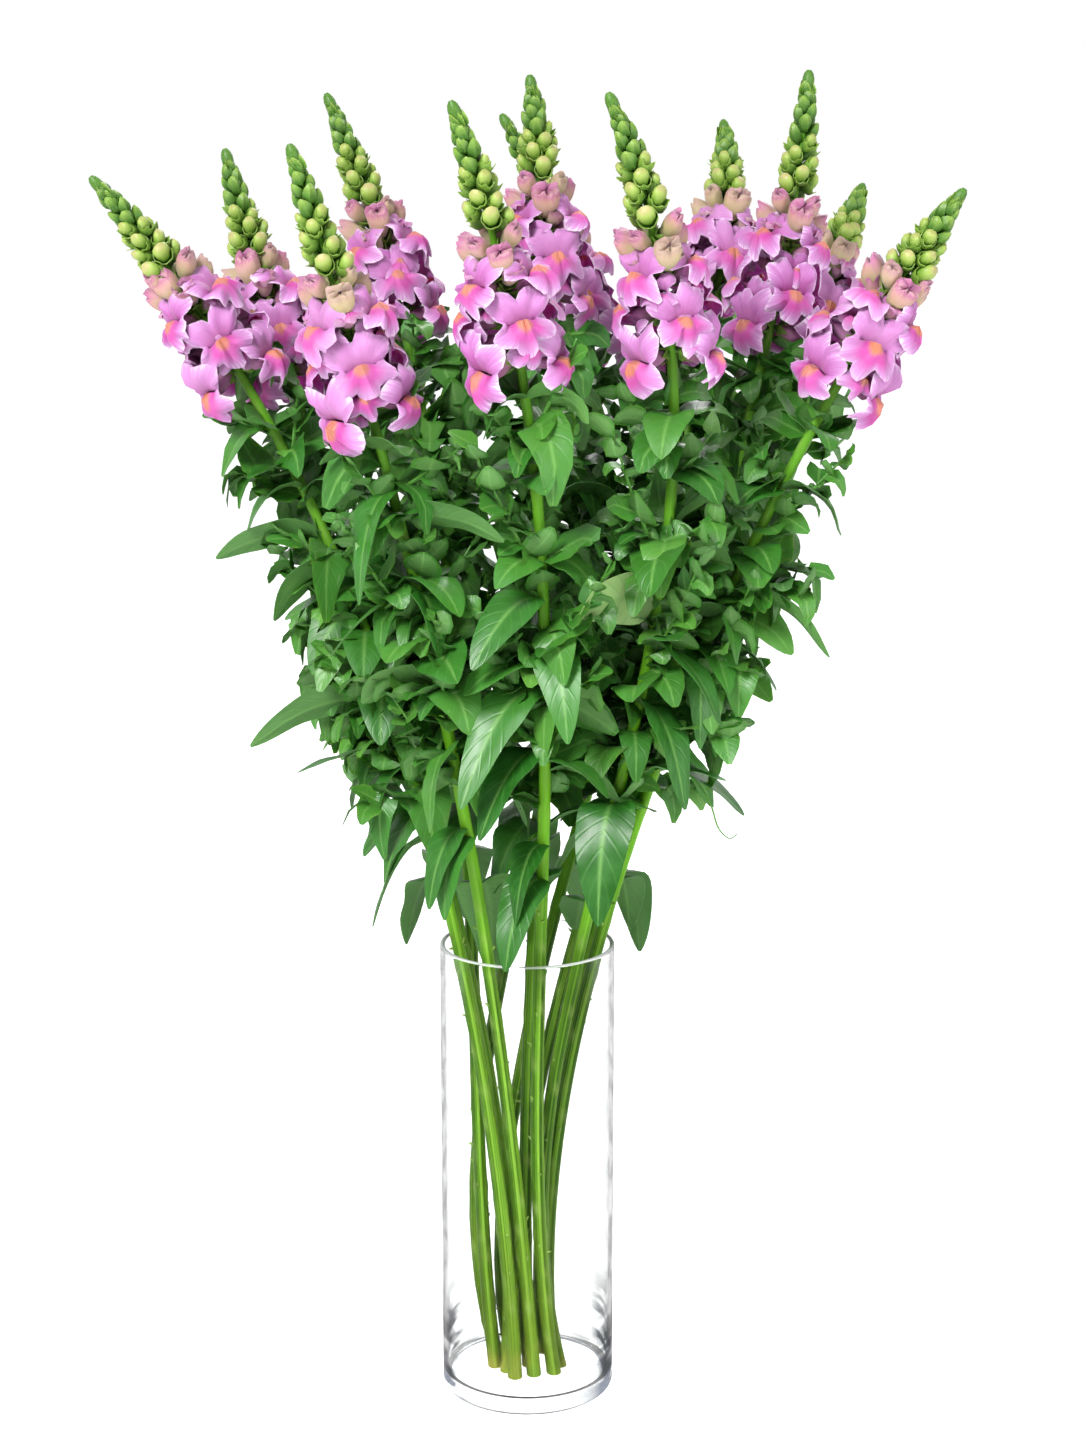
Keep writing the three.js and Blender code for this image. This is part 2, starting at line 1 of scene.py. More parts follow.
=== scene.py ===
# Twelve cut snapdragons in a clear glass vase: the fine pieces, their materials, lights and camera.
# Lengths are in millimetres until a mesh is made, where they become metres. Materials and the
# studio are in metres throughout.
import math

import bpy
import numpy as np
from mathutils.kdtree import KDTree
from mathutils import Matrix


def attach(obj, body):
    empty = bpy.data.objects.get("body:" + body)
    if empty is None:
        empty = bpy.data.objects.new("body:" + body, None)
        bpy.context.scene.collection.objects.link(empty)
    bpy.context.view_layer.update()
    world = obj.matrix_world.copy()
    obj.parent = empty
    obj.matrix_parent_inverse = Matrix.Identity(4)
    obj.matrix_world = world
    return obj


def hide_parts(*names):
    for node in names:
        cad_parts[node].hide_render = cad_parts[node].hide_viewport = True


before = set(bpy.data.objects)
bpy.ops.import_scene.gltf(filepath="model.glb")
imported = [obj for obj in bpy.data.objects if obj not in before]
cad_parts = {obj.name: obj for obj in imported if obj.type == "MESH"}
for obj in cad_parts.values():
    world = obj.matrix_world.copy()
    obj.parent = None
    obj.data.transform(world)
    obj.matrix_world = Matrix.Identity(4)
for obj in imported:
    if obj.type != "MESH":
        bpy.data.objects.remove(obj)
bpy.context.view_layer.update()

MM = 0.001
UP = np.array([0.0, 0.0, 1.0])
EAST = np.array([1.0, 0.0, 0.0])

# ---- The layout that the CAD model is built to

VASE_HEIGHT = 300
VASE_RADIUS = 55.5
VASE_WALL = 3
VASE_BASE = 11
VASE_EDGE = 5
VASE_COVE = 4
FLOOR = VASE_BASE + 0.5
# Radius and azimuth at the rim and at the foot, lowest floret, tip of the spike.
STEMS = [
    ((45.9, 201), (21.6, 248), (-173, -10, 660), (-256, -30, 777)),
    ((43.4, 168), (16.9, 218), (-150, 60, 655), (-188, 70, 792)),
    ((45.7, 238), (16.8, 284), (-90, -100, 650), (-130, -130, 797)),
    ((43.2, 147), (21.6, 188), (-80, 110, 680), (-129, 130, 827)),
    ((42.1, 281), (21.6, 322), (-3, -115, 675), (-40, -150, 820)),
    ((6.4, 56), (2.2, 292), (13, 55, 700), (2, 60, 836)),
    ((46, 102), (21.4, 156), (38, 165, 665), (-18, 190, 815)),
    ((43.8, 317), (21, 354), (84, -95, 676), (46, -120, 825)),
    ((45.6, 69), (19.6, 124), (124, 155, 695), (130, 190, 808)),
    ((45.6, 21), (21.5, 61), (150, 35, 682), (172, 40, 840)),
    ((45, 43), (15, 90), (177, 115, 671), (218, 150, 767)),
    ((45.9, 345), (18.4, 28), (185, -60, 662), (250, -80, 770)),
]
RIM_AT = 0.36
NECK_AT = 0.82
KNOTS = (0, RIM_AT, NECK_AT, 1)
STEM_RADII = ((0, 4.6), (RIM_AT, 4.3), (NECK_AT, 3.0), (1, 1.2))
SLEEVE_WALL = 1.9
CLEARANCE = 0.35
GOLDEN_ANGLE = 137.508
# Steps of the search for a height, the step that gives a stem's direction, and how deep what
# grows on a stem sits in the wall of its sleeve.
HALVINGS = 40
LINE_STEP = 0.002
SUNK_IN_SLEEVE = 0.3

# Whorls of three: share of the head's length, elevation, size, how far open.
WHORLS = [
    (0.02, -4, 1.04, 1.0),
    (0.155, 14, 1.0, 0.96),
    (0.285, 32, 0.92, 0.8),
    (0.37, 42, 1.12, 0.3),
    (0.445, 46, 0.84, 0.08),
]
OPEN_WHORLS = 3
WHORL_SIZE = 3
# How much florets differ: azimuth, place on the head, elevation, size.
FLORET_SEED = 100
FLORET_TURN, FLORET_SHIFT, FLORET_LIFT = 14, 0.03, 10
FLORET_SIZES = (0.95, 1.05)
LIPS = [
    (0, 12.5, 23), (30, 20, 21), (80, 10.5, 22), (112, 18, 23), (148, 13.5, 26),
    (180, 20, 22), (212, 13.5, 26), (248, 18, 23), (280, 10.5, 22), (330, 20, 21),
]
PALE_BELLY = [(45, 6.6, 9), (135, 6, 10.5), (225, 6, 10.5), (315, 6.6, 9)]
STEM_END = 0.53
SPIKE_REACH = (15.5, 6.5)
SPIKE_LIFT = (12, 7)

# Stem, height of the root, tip, half width, roll.
NAMED_LEAVES = [
    (8, 402, (43, -78, 334), 17, 0),
    (5, 355, (-14, -84, 308), 13, 0),
    (1, 370, (-96, -45, 324), 14, -25),
    (3, 387, (-60, -72, 343), 12, 0),
    (1, 417, (-98, -35, 376), 12, -20),
    (8, 466, (95, -92, 410), 14, 20),
    (5, 478, (-38, -112, 414), 14, 0),
    (5, 439, (-28, -104, 394), 15, 0),
    (1, 470, (-89, -50, 441), 15, 0),
    (1, 457, (-172, -25, 435), 11, -40),
    (1, 422, (-142, -30, 419), 11, -40),
    (1, 560, (-191, -12, 549), 11, -40),
    (1, 539, (-156, -25, 514), 14, -40),
    (3, 533, (-115, -100, 504), 8, -30),
    (3, 597, (-97, -120, 540), 12, 0),
    (3, 582, (-11, -118, 576), 12, 30),
    (3, 538, (-50, -105, 505), 15, 10),
    (5, 535, (-31, -118, 499), 14, 0),
    (12, 532, (183, -60, 497), 9, 35),
    (12, 502, (152, -55, 476), 11, 35),
    (10, 491, (147, 0, 463), 11, 30),
    (5, 504, (25, -115, 456), 13, 0),
    (5, 432, (40, -110, 421), 16, 10),
    (8, 530, (30, -105, 531), 15, -30),
    (8, 501, (116, -95, 463), 13, 25),
    (12, 493, (104, -75, 445), 12, 10),
]
LEAVES = 5
LEAF_HEIGHTS = (335, 520)
LEAF_LENGTHS = (64, 52)
LEAF_ELEVATIONS = (-42, -5)
LEAF_WIDTHS = (0.21, 0.27)
LENGTH_RANGE = (0.85, 1.12)
ELEVATION_SPREAD = 50
LEAF_JITTER, LEAF_TURN, LEAF_ROLL = 0.7, 30, 40
TUFTS = 6
TUFTS_FROM = 430
TUFTS_TO_SHARE = -0.13
TUFT_BLADES = 3
TUFT_LENGTHS = (54, 38)
TUFT_ELEVATIONS = (-24, 8)
TUFT_JITTER, TUFT_CROSSED = 0.4, 60

# What the layout tries in turn: a turn, a lift, a change of size.
BENDS = [
    (0, 0, 1), (12, 0, 1), (-12, 0, 1), (0, -14, 1), (0, 14, 1), (24, 0, 1), (-24, 0, 1),
    (24, -20, 1), (-24, -20, 1), (40, 10, 1), (-40, 10, 1), (0, -30, 1), (60, 0, 1), (-60, 0, 1),
    (0, 0, 0.82), (30, 10, 0.82), (-30, 10, 0.82), (60, 0, 0.82), (-60, 0, 0.82), (0, 25, 0.82),
    (90, 0, 0.75), (-90, 0, 0.75), (130, 0, 0.75), (-130, 0, 0.75), (20, 20, 0.65), (50, -10, 0.65),
]
TUFT_BENDS = [
    (0, 0, 1), (8, 0, 1), (-8, 0, 1), (0, 14, 1), (0, -14, 1), (0, 28, 1), (8, -14, 1), (-8, 14, 1),
    (0, 0, 0.8), (8, 20, 0.8), (-8, -20, 0.8), (0, 35, 0.8), (0, 0, 0.62), (0, 25, 0.62),
    (0, -25, 0.62), (0, 40, 0.62), (0, 0, 0.48), (0, 30, 0.48), (0, 45, 0.4),
]
FLORET_TURNS = [
    (0, 0, 1), (14, 0, 1), (-14, 0, 1), (0, 12, 1), (0, -12, 1), (28, 0, 1), (-28, 0, 1),
    (0, 28, 1), (30, 25, 1), (-30, 25, 1),
]
SAME_POINT = 0.05


def seeded(seed):
    """A repeatable source of numbers from 0 to 1, the same as the CAD model's."""
    state = seed

    def draw():
        nonlocal state
        state = (state * 1664525 + 1013904223) % 4294967296
        return state / 4294967296

    return draw


def mix(low, high, share):
    """The value at a share of the way from low to high."""
    return low + (high - low) * share


def spread(random, width):
    """A random number within half the width of 0."""
    return (random() - 0.5) * width


def smooth(x):
    """An easy rise from 0 to 1."""
    x = np.clip(x, 0, 1)
    return x * x * (3 - 2 * x)


def bell(x, middle, width):
    return np.exp(-(((x - middle) / width) ** 2))


def unit(vectors):
    return vectors / np.maximum(np.linalg.norm(vectors, axis=-1, keepdims=True), 1e-9)


def polar(radius, azimuth, height):
    """A point by its azimuth in degrees."""
    turn = math.radians(azimuth)
    return np.array([radius * math.cos(turn), radius * math.sin(turn), height])


def raised(length, azimuth, rise):
    """A line of a length, by its azimuth in degrees and its rise in radians."""
    return polar(length * math.cos(rise), azimuth, length * math.sin(rise))


def spike_at(share):
    """The parameter on a stem of a share of its head."""
    return mix(NECK_AT, 1, share)


def stem_radius(u):
    return np.interp(u, *zip(*STEM_RADII))


class Axes:
    """A place with three directions: ahead, and side and front across it."""

    def __init__(self, centre, ahead, side, front):
        self.centre, self.ahead, self.side, self.front = centre, ahead, side, front

    def at(self, across, up, forward):
        """Points from their three coordinates, which may be arrays."""
        across, up, forward = np.broadcast_arrays(across, up, forward)
        flat = self.centre + across[..., None] * self.side + up[..., None] * self.front
        return flat + forward[..., None] * self.ahead

    def round(self, angle, radius, forward):
        """Points round the axis, by an angle in degrees."""
        turn = np.radians(angle)
        return self.at(radius * np.cos(turn), radius * np.sin(turn), forward)

    def out(self, turn):
        """The direction straight away from the axis, by an angle in radians."""
        return self.side * math.cos(turn) + self.front * math.sin(turn)

    def leaning(self, turn, rise):
        """The direction away from the axis, raised towards ahead."""
        return self.out(turn) * math.cos(rise) + self.ahead * math.sin(rise)

    def beside(self, place, ahead):
        """Axes of what points ahead from a place beside this axis. Their front is upwards."""
        side = unit(np.cross(ahead, self.ahead))
        return Axes(place, ahead, side, np.cross(side, ahead))


class Stem:
    """The centre line of one stem, and what grows on it."""

    def __init__(self, number, rim, foot, neck, tip):
        self.number = number
        self.start = rim[1]
        self.points = np.array([polar(*foot, FLOOR), polar(*rim, VASE_HEIGHT), neck, tip])

    def name(self, kind):
        return f"{kind}_{self.number:02d}"

    def at(self, u):
        """The cubic line through the four points, by Lagrange's weights."""
        u = np.asarray(u, float)
        weights = []
        for i, knot in enumerate(KNOTS):
            others = [k for j, k in enumerate(KNOTS) if j != i]
            weights.append(np.prod([(u - k) / (knot - k) for k in others], axis=0))
        return np.stack(weights, axis=-1) @ self.points

    def at_height(self, height):
        low, high = 0.0, 1.0
        for _ in range(HALVINGS):
            middle = (low + high) / 2
            if self.at(middle)[2] < height:
                low = middle
            else:
                high = middle
        return (low + high) / 2

    def axes(self, u):
        ahead = unit(self.at(u + LINE_STEP) - self.at(u - LINE_STEP))
        side = unit(EAST - ahead * (EAST @ ahead))
        return Axes(self.at(u), ahead, side, np.cross(ahead, side))

    def branch(self, u, azimuth, elevation):
        """The axes of what grows out of the head: ahead points outwards, front upwards."""
        here = self.axes(u)
        turn, rise = math.radians(azimuth), math.radians(elevation)
        sunk = stem_radius(u) + CLEARANCE + SLEEVE_WALL * SUNK_IN_SLEEVE
        return here.beside(here.centre + here.out(turn) * sunk, here.leaning(turn, rise))


def corners(node):
    """A search tree over the corners of a CAD node."""
    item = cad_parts[node]
    tree = KDTree(len(item.data.vertices))
    for i, vertex in enumerate(item.data.vertices):
        tree.insert((item.matrix_world @ vertex.co) / MM, i)
    tree.balance()
    return tree


def find_used(choices, marks, tree):
    """The choice that the CAD model took: most of its marked points are corners of the node."""
    for choice in choices:
        points = marks(choice)
        hits = sum(tree.find(point)[2] < SAME_POINT for point in points)
        if 2 * hits > len(points):
            return choice
    return None


def blooms_of(stem):
    """Each bloom's axes, size and how far it is open."""
    random = seeded(FLORET_SEED + stem.number)
    tree = corners(stem.name("florets"))
    start = random() * 360
    blooms = []
    for i, (share, elevation, size, opening) in enumerate(WHORLS):
        outline = LIPS if i < OPEN_WHORLS else PALE_BELLY
        for j in range(WHORL_SIZE):
            azimuth = start + (j + i / 2) * 360 / WHORL_SIZE + spread(random, FLORET_TURN)
            at = spike_at(share + spread(random, FLORET_SHIFT))
            lift = elevation + spread(random, FLORET_LIFT)
            scale = size * mix(*FLORET_SIZES, random())

            def marks(choice):
                axes = stem.branch(at, azimuth + choice[0], lift + choice[1])
                angle, radius, forward = np.array(outline, float).T
                whole = scale * choice[2]
                return axes.round(90 - angle, radius * whole, forward * whole)

            used = find_used(FLORET_TURNS, marks, tree)
            if used:
                axes = stem.branch(at, azimuth + used[0], lift + used[1])
                blooms.append((axes, scale * used[2], opening))
    return blooms


def bent_tip(root, tip, bend):
    """Where the tip of a leaf goes when it is turned about the upright and raised."""
    reach = tip - root
    azimuth = math.degrees(math.atan2(reach[1], reach[0])) + bend[0]
    rise = math.atan2(reach[2], math.hypot(reach[0], reach[1])) + math.radians(bend[1])
    return root + raised(np.linalg.norm(reach) * bend[2], azimuth, rise)


def leaves_of(stem, random, tree):
    """The single leaves: root, tip, half width and roll."""
    wanted = []
    for number, height, tip, half_width, roll in NAMED_LEAVES:
        if number == stem.number:
            wanted.append((stem.at(stem.at_height(height)), np.array(tip, float), half_width, roll))
    start = random() * 360
    for i in range(LEAVES):
        t = (i + random() * LEAF_JITTER) / LEAVES
        root = stem.at(stem.at_height(mix(*LEAF_HEIGHTS, t)))
        length = mix(*LEAF_LENGTHS, t) * mix(*LENGTH_RANGE, random())
        azimuth = start + i * GOLDEN_ANGLE + spread(random, LEAF_TURN)
        rise = math.radians(mix(*LEAF_ELEVATIONS, t) + spread(random, ELEVATION_SPREAD))
        half_width = length * mix(*LEAF_WIDTHS, random())
        tip = root + raised(length, azimuth, rise)
        wanted.append((root, tip, half_width, spread(random, LEAF_ROLL)))
    leaves = []
    for root, tip, half_width, roll in wanted:
        bend = find_used(BENDS, lambda choice: [bent_tip(root, tip, choice)], tree)
        if bend:
            leaves.append((root, bent_tip(root, tip, bend), half_width * bend[2], roll))
    return leaves


def tufts_of(stem, random, tree):
    """The tufts: the parameter of each on the stem, and the tips of its leaves."""
    tufts = []
    top = stem.at(spike_at(TUFTS_TO_SHARE))[2]
    for i in range(TUFTS):
        t = (i + random() * TUFT_JITTER) / (TUFTS - 1 + TUFT_JITTER)
        u = stem.at_height(mix(TUFTS_FROM, top, t))
        blades = []
        for _ in range(TUFT_BLADES):
            length = mix(*TUFT_LENGTHS, t) * mix(*LENGTH_RANGE, random())
            blades.append((length, mix(*TUFT_ELEVATIONS, t) + spread(random, ELEVATION_SPREAD)))
        first = stem.start + (TUFT_CROSSED if i % 2 else 0)
        axes = stem.axes(u)

        def tips(choice):
            points = []
            for j, (length, elevation) in enumerate(blades):
                rise = math.radians(elevation + choice[1])
                reach = length * choice[2]
                angle = first + j * 360 / TUFT_BLADES + choice[0]
                points.append(axes.round(angle, reach * math.cos(rise), reach * math.sin(rise)))
            return points

        used = find_used(TUFT_BENDS, tips, tree)
        tufts.append((u, tips(used) if used else []))
    return tufts


# ---- Meshes

CREASE = 50
NO_TRIANGLES = np.zeros((0, 3), int)
# The fourth number of a note is negative on the back of a sheet.
BEHIND = np.array([1, 1, 1, -1])
# The ranges of random phases, of shifts that set each piece's texture apart, and of tints.
ANY_PHASE = (0, 6.28)
ANY_PLACE, ANY_LEAF_PLACE = (0, 40), (0, 60)
ANY_TINT = (0.05, 1)


class Skin:
    """Gathers closed sheets and solids into one mesh. Each point carries a note of four numbers
    and a place of its own, the spot, which the materials read."""

    def __init__(self):
        self.points, self.notes, self.spots, self.faces = [], [], [], []
        self.count = 0

    def add(self, points, quads, triangles, note, spot):
        """Takes in a closed form, and turns its faces outwards if they all look inwards."""
        corner = points - points.mean(axis=0)
        halves = np.concatenate([quads[:, [0, 1, 2]], quads[:, [0, 2, 3]], triangles])
        a, b, c = (corner[halves[:, i]] for i in range(3))
        if np.einsum("ij,ij->", a, np.cross(b, c)) < 0:
            quads, triangles = quads[:, ::-1], triangles[:, ::-1]
        self.faces += [quads + self.count, triangles + self.count]
        self.points.append(points)
        self.notes.append(note)
        self.spots.append(spot)
        self.count += len(points)

    def sheet(self, top, thickness, note, spot, loop=False, sharp=False):
        """A thin closed sheet: a grid of points and a copy of it set back by the thickness. A
        band joins the two, or they share the points of a sharp rim."""
        rows, columns = top.shape[:2]
        back = top - normals(top, loop) * np.broadcast_to(thickness, (rows, columns))[..., None]
        own = np.ones((rows, columns), bool)
        if sharp:
            own[[0, -1]] = own[:, [0, -1]] = False
        ids = np.arange(rows * columns).reshape(rows, columns)
        under = ids.copy()
        under[own] = ids.size + np.arange(own.sum())
        quads = [grid_quads(ids, loop), grid_quads(under, loop)[:, ::-1]]
        edges = [(ids[0, ::-1], under[0, ::-1]), (ids[-1], under[-1])]
        if loop:
            edges = [(np.append(i, i[0]), np.append(j, j[0])) for i, j in edges]
        else:
            edges += [(ids[:, 0], under[:, 0]), (ids[::-1, -1], under[::-1, -1])]
        for above, below in () if sharp else edges:
            quads.append(np.stack([above[1:], above[:-1], below[:-1], below[1:]], axis=-1))

        def joined(front, behind):
            return np.concatenate([front.reshape(ids.size, -1), behind[own]])

        note = np.broadcast_to(note, (rows, columns, 4))
        spot = np.broadcast_to(spot, (rows, columns, 3))
        self.add(
            joined(top, back), np.concatenate(quads), NO_TRIANGLES, joined(note, note * BEHIND),
            joined(spot, spot),
        )

    def tube(self, rings, note, spot):
        """A solid through rings of points, closed by a fan at each end."""
        rows, columns = rings.shape[:2]
        ids = np.arange(rows * columns).reshape(rows, columns)
        turned = np.roll(ids, -1, axis=1)
        fans = [
            np.stack([ids[0], turned[0], np.full(columns, ids.size)], axis=-1),
            np.stack([turned[-1], ids[-1], np.full(columns, ids.size + 1)], axis=-1),
        ]

        def with_ends(values):
            ends = np.stack([values[0].mean(axis=0), values[-1].mean(axis=0)])
            return np.concatenate([values.reshape(ids.size, -1), ends])

        note = np.broadcast_to(note, (rows, columns, 4))
        spot = np.broadcast_to(spot, (rows, columns, 3))
        self.add(
            with_ends(rings), grid_quads(ids, True), np.concatenate(fans), with_ends(note),
            with_ends(spot),
        )

    def make(self, name, material):
        """The mesh object. Faces that meet at more than the crease angle keep a sharp edge."""
        quads = np.concatenate(self.faces[0::2])
        triangles = np.concatenate(self.faces[1::2])
        points = np.concatenate(self.points) * MM
        loops = np.concatenate([quads.ravel(), triangles.ravel()])
        sizes = np.repeat([4, 3], [len(quads), len(triangles)])
        mesh = bpy.data.meshes.new(name)
        mesh.vertices.add(len(points))
        mesh.vertices.foreach_set("co", points.ravel())
        mesh.loops.add(len(loops))
        mesh.loops.foreach_set("vertex_index", loops)
        mesh.polygons.add(len(sizes))
        mesh.polygons.foreach_set("loop_start", np.cumsum(sizes) - sizes)
        mesh.update(calc_edges=True)
        mesh.validate()
        note = mesh.attributes.new("note", "FLOAT_COLOR", "POINT")
        note.data.foreach_set("color", np.concatenate(self.notes).ravel())
        spot = mesh.attributes.new("spot", "FLOAT_VECTOR", "POINT")
        spot.data.foreach_set("vector", np.concatenate(self.spots).ravel())
        mesh.shade_smooth()
        mesh.set_sharp_from_angle(angle=math.radians(CREASE))
        mesh.materials.append(material)
        item = bpy.data.objects.new(name, mesh)
        bpy.context.scene.collection.objects.link(item)
        return item


def grid_quads(ids, loop):
    if loop:
        ids = np.concatenate([ids, ids[:, :1]], axis=1)
    a, b, c, d = ids[:-1, :-1], ids[1:, :-1], ids[1:, 1:], ids[:-1, 1:]
    return np.stack([a, b, c, d], axis=-1).reshape(-1, 4)


def normals(grid, loop):
    down = np.gradient(grid, axis=0)
    if loop:
        around = np.roll(grid, -1, axis=1) - np.roll(grid, 1, axis=1)
    else:
        around = np.gradient(grid, axis=1)
    return unit(np.cross(down, around))


def stack(*values):
    """Several numbers or arrays side by side as the last axis of one array."""
    return np.stack(np.broadcast_arrays(*values), axis=-1).astype(float)


def ring_angles(sides):
    """Angles round a ring, in radians."""
    return np.arange(sides) * 2 * math.pi / sides


def through(points, count, pace=1.0):
    """Weights for a smooth line through a number of control points: one row a sample. It is
    Catmull and Rom's spline, with the first and last point doubled."""
    positions = (points - 1) * np.linspace(0, 1, count) ** pace
    weights = np.zeros((count, points))
    for row, x in enumerate(positions):
        i = min(int(x), points - 2)
        t = x - i
        factors = (
            (-t + 2 * t * t - t ** 3) / 2,
            (2 - 5 * t * t + 3 * t ** 3) / 2,
            (t + 4 * t * t - 3 * t ** 3) / 2,
            (t ** 3 - t * t) / 2,
        )
        for offset, factor in zip((-1, 0, 1, 2), factors):
            weights[row, min(max(i + offset, 0), points - 1)] += factor
    return weights


# ---- Florets

# The open flower and the shut one, by the angle from the top: the line from the root of the tube
# to the edge of the lip, as distances from the axis and forward. Every line has the same start.
LINE_START = (2, 1.5)
OPEN_FLOWER = {
    0: ((3.6, 4.5), (4.6, 10), (5.8, 15), (7.8, 18.6), (8.6, 22), (12, 22.8), (14.6, 20.4)),
    9: ((3.6, 4.5), (4.6, 10), (5.8, 15), (7.9, 18.8), (9.6, 22.4), (16.4, 23.6), (21.6, 18.8)),
    26: ((3.6, 4.5), (4.7, 10), (5.8, 15), (8.2, 19), (11, 23.2), (19, 24.2), (25, 18)),
    48: ((3.6, 4.5), (4.8, 10), (5.9, 15), (8.4, 19), (11.6, 23), (19.4, 23.6), (25.6, 17.4)),
    68: ((3.7, 4.4), (4.9, 10), (6.1, 15), (8.8, 18.6), (11, 21.8), (15.6, 21.6), (19.6, 17.6)),
    82: ((3.8, 4.3), (5.0, 10), (6.2, 15), (9.2, 18), (9.8, 20), (10.4, 20.6), (11.4, 20.2)),
    96: ((3.9, 4.2), (5.1, 10), (6.3, 15), (9.2, 18.6), (10, 22.4), (13, 24), (16.8, 21.8)),
    114: ((4.1, 4.1), (5.3, 10), (6.4, 15), (8.8, 19.6), (9.6, 25.4), (15.8, 25), (21.8, 19.6)),
    134: ((4.2, 4), (5.5, 10), (6.5, 15.2), (8.4, 20.2), (8, 27), (15.4, 25.8), (21.4, 19.4)),
    151: ((4.4, 3.9), (5.6, 10), (6.6, 15.4), (8.1, 20.6), (6.2, 28), (11.4, 27), (13.6, 24.2)),
    164: ((4.5, 3.8), (5.7, 10), (6.8, 15.6), (8, 20.8), (4.8, 28.6), (12.2, 27), (19.4, 20.6)),
    180: ((4.5, 3.8), (5.7, 10), (6.8, 15.6), (8, 20.8), (4.2, 28.2), (12.4, 26.8), (21.8, 18.6)),
}
SHUT_FLOWER = {
    0: ((4, 4.5), (5.4, 8.5), (6.1, 12.5), (6.6, 17), (6.6, 21), (4.8, 23.8), (0.4, 21.6)),
    40: ((4, 4.5), (5.5, 8.5), (6.4, 12.5), (7.4, 16.6), (8.2, 20.6), (6.6, 23.4), (0.6, 21)),
    90: ((4, 4.5), (5.3, 8.5), (5.9, 12.5), (6.4, 16), (6.4, 19), (4.8, 20.8), (0.6, 20.4)),
    130: ((4.2, 4.2), (5.9, 8.2), (7, 12.2), (7.6, 15.8), (7, 19.2), (4.6, 21.2), (0.5, 20)),
    180: ((4.4, 4), (6, 8), (7, 12), (6.9, 15.6), (5.4, 18.4), (3, 20), (0.4, 19.6)),
}
LINE_POINTS = 8
LINE_PACE = 0.85
EDGE_SOFTNESS = 4
FLOWER_LENGTH = 24
# Points round and along a flower that is well open, and one that isn't.
FINE_GRID, COARSE_GRID, FINE_ABOVE = (40, 12), (30, 10), 0.77
PETAL_THICKNESS = (0.75, 0.34)
OPEN_SIZE = 0.9
MOUTH_AT, MOUTH_LONG, MOUTH_SHUT = 0.57, 0.11, 0.86
PALATE_AT, PALATE_LONG, PALATE_WIDE, PALATE_LIFT, PALATE_FORWARD = 0.67, 0.11, 46, 5.6, 1.2
GROOVE_WIDE, GROOVE_DEPTH = 10, 1.3
# The patch where the material paints the palate: degrees to each side, place and length.
PATCH_WIDE, PATCH_AT, PATCH_LONG = 62, 0.68, 0.17
SHUT_SQUEEZE = 0.45
# Waves of the lips: how many round the flower, and how strong.
RUFFLES = ((3, 0.9), (5, 1.3), (7, 1.1), (10, 0.7), (13, 0.35))
RUFFLE_DEPTH = 1.6
# Further florets between the whorls, smaller and less open: share of the head, elevation, size,
# how far open.
LATE_WHORLS = ((0.09, 8, 0.8, 0.75), (0.225, 24, 0.76, 0.62), (0.33, 40, 0.86, 0.46))
# How pale the petals of a stem are, from and to.
MIDDLE_TINT = (0.1, 0.8)
TINTS = {9: (0.6, 1.0), 3: (0.3, 1.0), 10: (0.05, 0.35), 5: (0.05, 0.6)}
CALYX_THICKNESS = 0.45
FLOWER_CALYX, SHUT_CALYX_RADIUS, OPEN_CALYX_RADIUS = 7.5, 6.2, 4.9


def flower_lines(shape):
    """A flower's lines at every degree, softened a little from one to the next."""
    keys = sorted(shape)
    mirrored = keys + [360 - key for key in reversed(keys[:-1])]
    table = np.array([(LINE_START, *shape[min(key, 360 - key)]) for key in mirrored], float)
    degrees = np.arange(360)
    lines = np.stack([
        [np.interp(degrees, mirrored, table[:, k, axis]) for k in range(LINE_POINTS)]
        for axis in (0, 1)
    ])
    reach = np.arange(-3 * EDGE_SOFTNESS, 3 * EDGE_SOFTNESS + 1)
    weights = bell(reach, 0, EDGE_SOFTNESS)
    weights /= weights.sum()
    return sum(w * np.roll(lines, shift, axis=-1) for w, shift in zip(weights, reach))


OPEN_LINES, SHUT_LINES = flower_lines(OPEN_FLOWER), flower_lines(SHUT_FLOWER)


